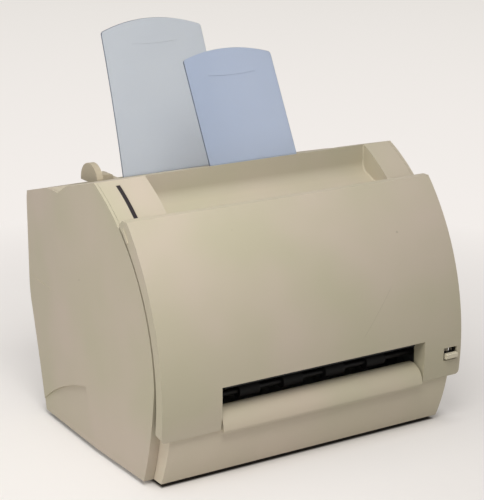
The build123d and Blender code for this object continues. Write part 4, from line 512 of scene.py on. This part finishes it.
hopper_abs = moulded_abs("hopper ABS, smooth", rosy_hex="#BFB29E", greenish_hex="#B8B097",
                         roughness=0.5, grain_mm=1.4, depth_mm=0.03)
finish_nodes(hopper_abs, "hopper", "left_paper_guide", "right_paper_guide")

# Right side cover, top cover and rear cover
# Moulded in warm grey ABS with a fine spark grain, and hooked and screwed to the base and
# the frames. They have yellowed unevenly.


def case_finish(name, rosy_hex="#CABEAE", greenish_hex="#C1BBA3", marks=None):
    return moulded_abs(name, rosy_hex, greenish_hex, roughness=0.56, grain_mm=1.0, depth_mm=0.05,
                       marks=marks)


finish_nodes(case_finish("case ABS, spark grained"), "right_side_cover", "top_cover", "rear_cover")

# Output selector
# One small ABS moulding: the tab that a finger moves, and behind it a plate that slides in
# the cover. The plate stays in the dark of the window, and its near black colour is painted shade;
# the tab's colour is written lighter than the case's, as painted light.

plate_depth = 0.0045
plate_painted_shade_hex = "#1C1815"
plate_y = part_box("output_selector")[0][1] + plate_depth


def painted_shade_behind_tab(material, colour):
    """Paints shade, near black, on what lies behind the tab."""
    split = add_node(material, "ShaderNodeSeparateXYZ", inputs={"Vector": object_place(material)})
    behind = maths(material, "GREATER_THAN", split.outputs["Y"], plate_y)
    return mixed(material, behind, colour, plate_painted_shade_hex)


# Painted light and shade: the tab is written lighter than the case, and the plate behind it near black.
finish_nodes(case_finish("case ABS painted lighter, with painted shade behind the tab", "#E2DAC8", "#DCD5BE", marks=painted_shade_behind_tab),
             "output_selector")

# Left side cover and front cover
# Moulded like the other covers; the front one hangs on two pins in the base. These two show
# a few specks of dirt, and the front one a fine scratch.

specks_left = (((-0.1829, -0.0092, 0.1793), 0.0011, 0.35), ((-0.1830, -0.0924, 0.1803), 0.0007, 0.25))
specks_front = (((0.1178, -0.1464, 0.2172), 0.0016, 0.3), ((-0.0745, -0.1296, 0.2439), 0.0007, 0.3))
speck_core = 0.4
scratch_top = (0.0936, 0.1638)
scratch_foot = (0.0580, 0.1237)
scratch_half_width = 0.0007
scratch_strength = 0.16
scratch_fade = 0.004
dirt_hex = "#57503F"


def specked(material, colour, specks):
    """Adds specks; each is a centre, a radius and a strength that fades towards its rim."""
    for centre, radius, strength in specks:
        away = vector_maths(material, "DISTANCE", object_place(material), centre).outputs["Value"]
        share = ramp(material, away, radius * speck_core, radius, strength, 0.0)
        colour = mixed(material, share, colour, dirt_hex)
    return colour


def scratched(material, colour):
    """Adds a fine straight scratch, placed by x and z as seen on the front."""
    place = add_node(material, "ShaderNodeSeparateXYZ", inputs={"Vector": object_place(material)})
    across, up = place.outputs["X"], place.outputs["Z"]
    slope = (scratch_top[0] - scratch_foot[0]) / (scratch_top[1] - scratch_foot[1])
    line_x = maths(material, "MULTIPLY_ADD", up, slope, scratch_foot[0] - slope * scratch_foot[1])
    off = maths(material, "ABSOLUTE", maths(material, "SUBTRACT", across, line_x))
    near = ramp(material, off, 0.0, scratch_half_width, scratch_strength, 0.0)
    above = ramp(material, up, scratch_foot[1] - scratch_fade, scratch_foot[1])
    below = ramp(material, up, scratch_top[1], scratch_top[1] + scratch_fade, 1.0, 0.0)
    share = maths(material, "MULTIPLY", maths(material, "MULTIPLY", near, above), below)
    return mixed(material, share, colour, dirt_hex)


def left_marks(material, colour):
    return specked(material, colour, specks_left)


def front_marks(material, colour):
    return scratched(material, specked(material, colour, specks_front))


finish_nodes(case_finish("case ABS with specks, left", marks=left_marks), "left_side_cover")
finish_nodes(case_finish("case ABS with specks and a scratch, front", marks=front_marks), "front_cover")

# Indicator lens
# A smoked acrylic strip pushed into the slit of the left block, just below the skin. It
# lights up from a lamp on the board below.

lens_smoke = clear_plastic("smoked acrylic", "#30272C", "#271F24", roughness=0.45, clearness=0.1)
finish_nodes(lens_smoke, "indicator_lens")

# Paper supports
# Two sheets of translucent pale blue styrene, cut and thermoformed. Their cut edges look
# darker, because light runs along inside the sheet.

styrene_index = 1.55
sheet_clearness = 0.6
sheet_roughness = 0.36
haze_mm = 71.43
haze_detail = 4.0
haze_depth_mm = 0.1
edge_turn = 0.75


def tinted_sheet(name, hex_colour, shade_hex, edge_hex):
    """Translucent tinted styrene: satin faces with a slow haze, and darker cut edges."""
    material, shader = new_material(name, {"Roughness": sheet_roughness, "IOR": styrene_index,
                                           "Transmission Weight": sheet_clearness})
    haze = noise(material, object_place(material), haze_mm, haze_detail)
    normal = add_node(material, "ShaderNodeNewGeometry").outputs["Normal"]
    facing = add_node(material, "ShaderNodeSeparateXYZ", inputs={"Vector": normal})
    sideways = maths(material, "ABSOLUTE", facing.outputs["X"])
    turned = maths(material, "MAXIMUM", sideways, facing.outputs["Z"])
    edge = maths(material, "GREATER_THAN", turned, edge_turn)
    face_colour = mixed(material, haze, hex_colour, shade_hex)
    drive(material, shader, "Base Color", mixed(material, edge, face_colour, edge_hex))
    relief(material, shader, haze, haze_depth_mm)
    return material


# Both sheets are the same styrene; the rear one's colour is written paler and the front one's darker and
# bluer, as painted light and shade on each.
finish_nodes(tinted_sheet("pale blue styrene, rear", "#EAF1F8", "#E2EAF4", edge_hex="#7B8298"),
             "rear_paper_support")
finish_nodes(tinted_sheet("pale blue styrene, front", "#D2DFF4", "#CAD8F0", edge_hex="#747C96"),
             "front_paper_support")

# Floor and backdrop
# A pale seamless paper sheet with a shadow painted dark under the base, where hardly any light reaches.
# Near the printer it is a matte surface that keeps the shadow; further off it glows to
# camera, mirror and glass rays, as an evenly lit studio sweep does.

paper_half = 12.0
paper_roughness = 0.95
fibre_mm = 333.33
foot_half = (0.168, 0.120, 0.0)
foot_middle = (0.0, -0.029, 0.0)
contact_fade = 0.03
painted_shadow_fade = 0.004
glow_starts = 0.30
glow_full = 0.85
near_glow = 0.35
sweep_near = 1.0
sweep_far = 4.0

stage_mesh = bpy.data.meshes.new("stage")
stage = bpy.data.objects.new("stage", stage_mesh)
bpy.context.scene.collection.objects.link(stage)
sheet = bmesh.new()
bmesh.ops.create_grid(sheet, x_segments=1, y_segments=1, size=paper_half)
sheet.to_mesh(stage_mesh)
sheet.free()

backdrop, paper = new_material("pale seamless paper", {"Roughness": paper_roughness})
place = object_place(backdrop)
ray = add_node(backdrop, "ShaderNodeLightPath")
from_foot = vector_maths(backdrop, "ABSOLUTE", vector_maths(backdrop, "SUBTRACT", place, foot_middle))
past = vector_maths(backdrop, "SUBTRACT", from_foot, foot_half)
past = add_node(backdrop, "ShaderNodeSeparateXYZ", inputs={"Vector": past})
past = maths(backdrop, "MAXIMUM", past.outputs["X"], past.outputs["Y"])
lit_paper = mixed(backdrop, noise(backdrop, place, fibre_mm), "#F8F6F4", "#F6F4F2")
# Painted shadow: the paper seen under the base is coloured dark, fading out just past the base's edge.
lit_paper = mixed(backdrop, ramp(backdrop, past, 0.0, painted_shadow_fade), "#3C3836", lit_paper)
drive(backdrop, paper, "Base Color", mixed(backdrop, ray.outputs["Is Camera Ray"], "#CCC9C6", lit_paper))

away = vector_maths(backdrop, "LENGTH", place).outputs["Value"]
sweep = mixed(backdrop, ramp(backdrop, away, sweep_near, sweep_far), "#F3EEEA", "#E5E1DC")
glow = add_node(backdrop, "ShaderNodeEmission", inputs={"Color": sweep, "Strength": 1.0})
seen = maths(backdrop, "MAXIMUM", ray.outputs["Is Camera Ray"], ray.outputs["Is Glossy Ray"])
seen = maths(backdrop, "MAXIMUM", seen, ray.outputs["Is Transmission Ray"])
share = maths(backdrop, "MULTIPLY", ramp(backdrop, away, glow_starts, glow_full, near_glow), seen)
share = maths(backdrop, "MULTIPLY", share, ramp(backdrop, past, 0.0, contact_fade))
blend = add_node(backdrop, "ShaderNodeMixShader", inputs={0: share, 1: paper.outputs[0], 2: glow})
for node in backdrop.node_tree.nodes:
    if node.type == "OUTPUT_MATERIAL":
        backdrop.node_tree.links.new(blend.outputs[0], node.inputs["Surface"])
stage_mesh.materials.append(backdrop)

# Light
# A soft box high on the left front, a broad one overhead, a low one that fills the left
# side, and an even pale surround.

surround_strength = 0.40
half_turn = 180

world = bpy.data.worlds.new("studio")
bpy.context.scene.world = world
world.use_nodes = True
world.node_tree.nodes.clear()
surround = add_node(world, "ShaderNodeBackground",
                    inputs={"Color": linear("#F3F0EE"), "Strength": surround_strength})
horizon = add_node(world, "ShaderNodeBackground", inputs={"Color": linear("#E5E2DF"), "Strength": 1.0})
path = add_node(world, "ShaderNodeLightPath")
swap = add_node(world, "ShaderNodeMixShader",
                inputs={0: path.outputs["Is Camera Ray"], 1: surround.outputs[0], 2: horizon.outputs[0]})
add_node(world, "ShaderNodeOutputWorld", inputs={"Surface": swap.outputs[0]})


def soft_lamp(name, place, target, size, watts, spread, hex_colour):
    """A square area lamp that faces its target within a given spread."""
    data = bpy.data.lights.new(name, "AREA")
    data.energy = watts
    data.size = size
    data.spread = math.radians(spread)
    data.color = linear(hex_colour)[:3]
    lamp = bpy.data.objects.new(name, data)
    bpy.context.scene.collection.objects.link(lamp)
    lamp.location = place
    lamp.rotation_euler = (Vector(target) - Vector(place)).to_track_quat("-Z", "Y").to_euler()


soft_lamp("left front", place=(-0.40, -0.68, 1.05), target=(-0.25, 0.0, 0.25), size=0.5, watts=2.9,
          spread=110, hex_colour="#FFFCF8")
soft_lamp("overhead", place=(-0.40, 0.10, 2.10), target=(0.0, 0.0, 0.15), size=1.6, watts=9.0,
          spread=half_turn, hex_colour="#FFFDFA")
soft_lamp("low left", place=(-1.50, -0.20, 0.30), target=(0.0, 0.0, 0.10), size=1.0, watts=5.0,
          spread=half_turn, hex_colour="#FFFCF8")

# Camera
# Placed as the photograph was taken: from the left front, a little above the printer. Its
# focal length is given in pixels of the photograph's height.

picture_height = 500
focal_pixels = 1661.26
camera_place = (-0.91658, -1.46152, 0.67435)
camera_yaw = 32.66
camera_pitch = 15.97
film_mm = 36.0
view_reach = 60.0

camera_data = bpy.data.cameras.new("camera")
camera = bpy.data.objects.new("camera", camera_data)
bpy.context.scene.collection.objects.link(camera)
camera_data.sensor_width = film_mm
camera_data.lens = focal_pixels / picture_height * film_mm
camera_data.clip_end = view_reach
camera.location = camera_place
camera.rotation_euler = (math.radians(90 - camera_pitch), 0.0, math.radians(-camera_yaw))
bpy.context.scene.camera = camera
bpy.context.scene.view_settings.view_transform = "Standard"
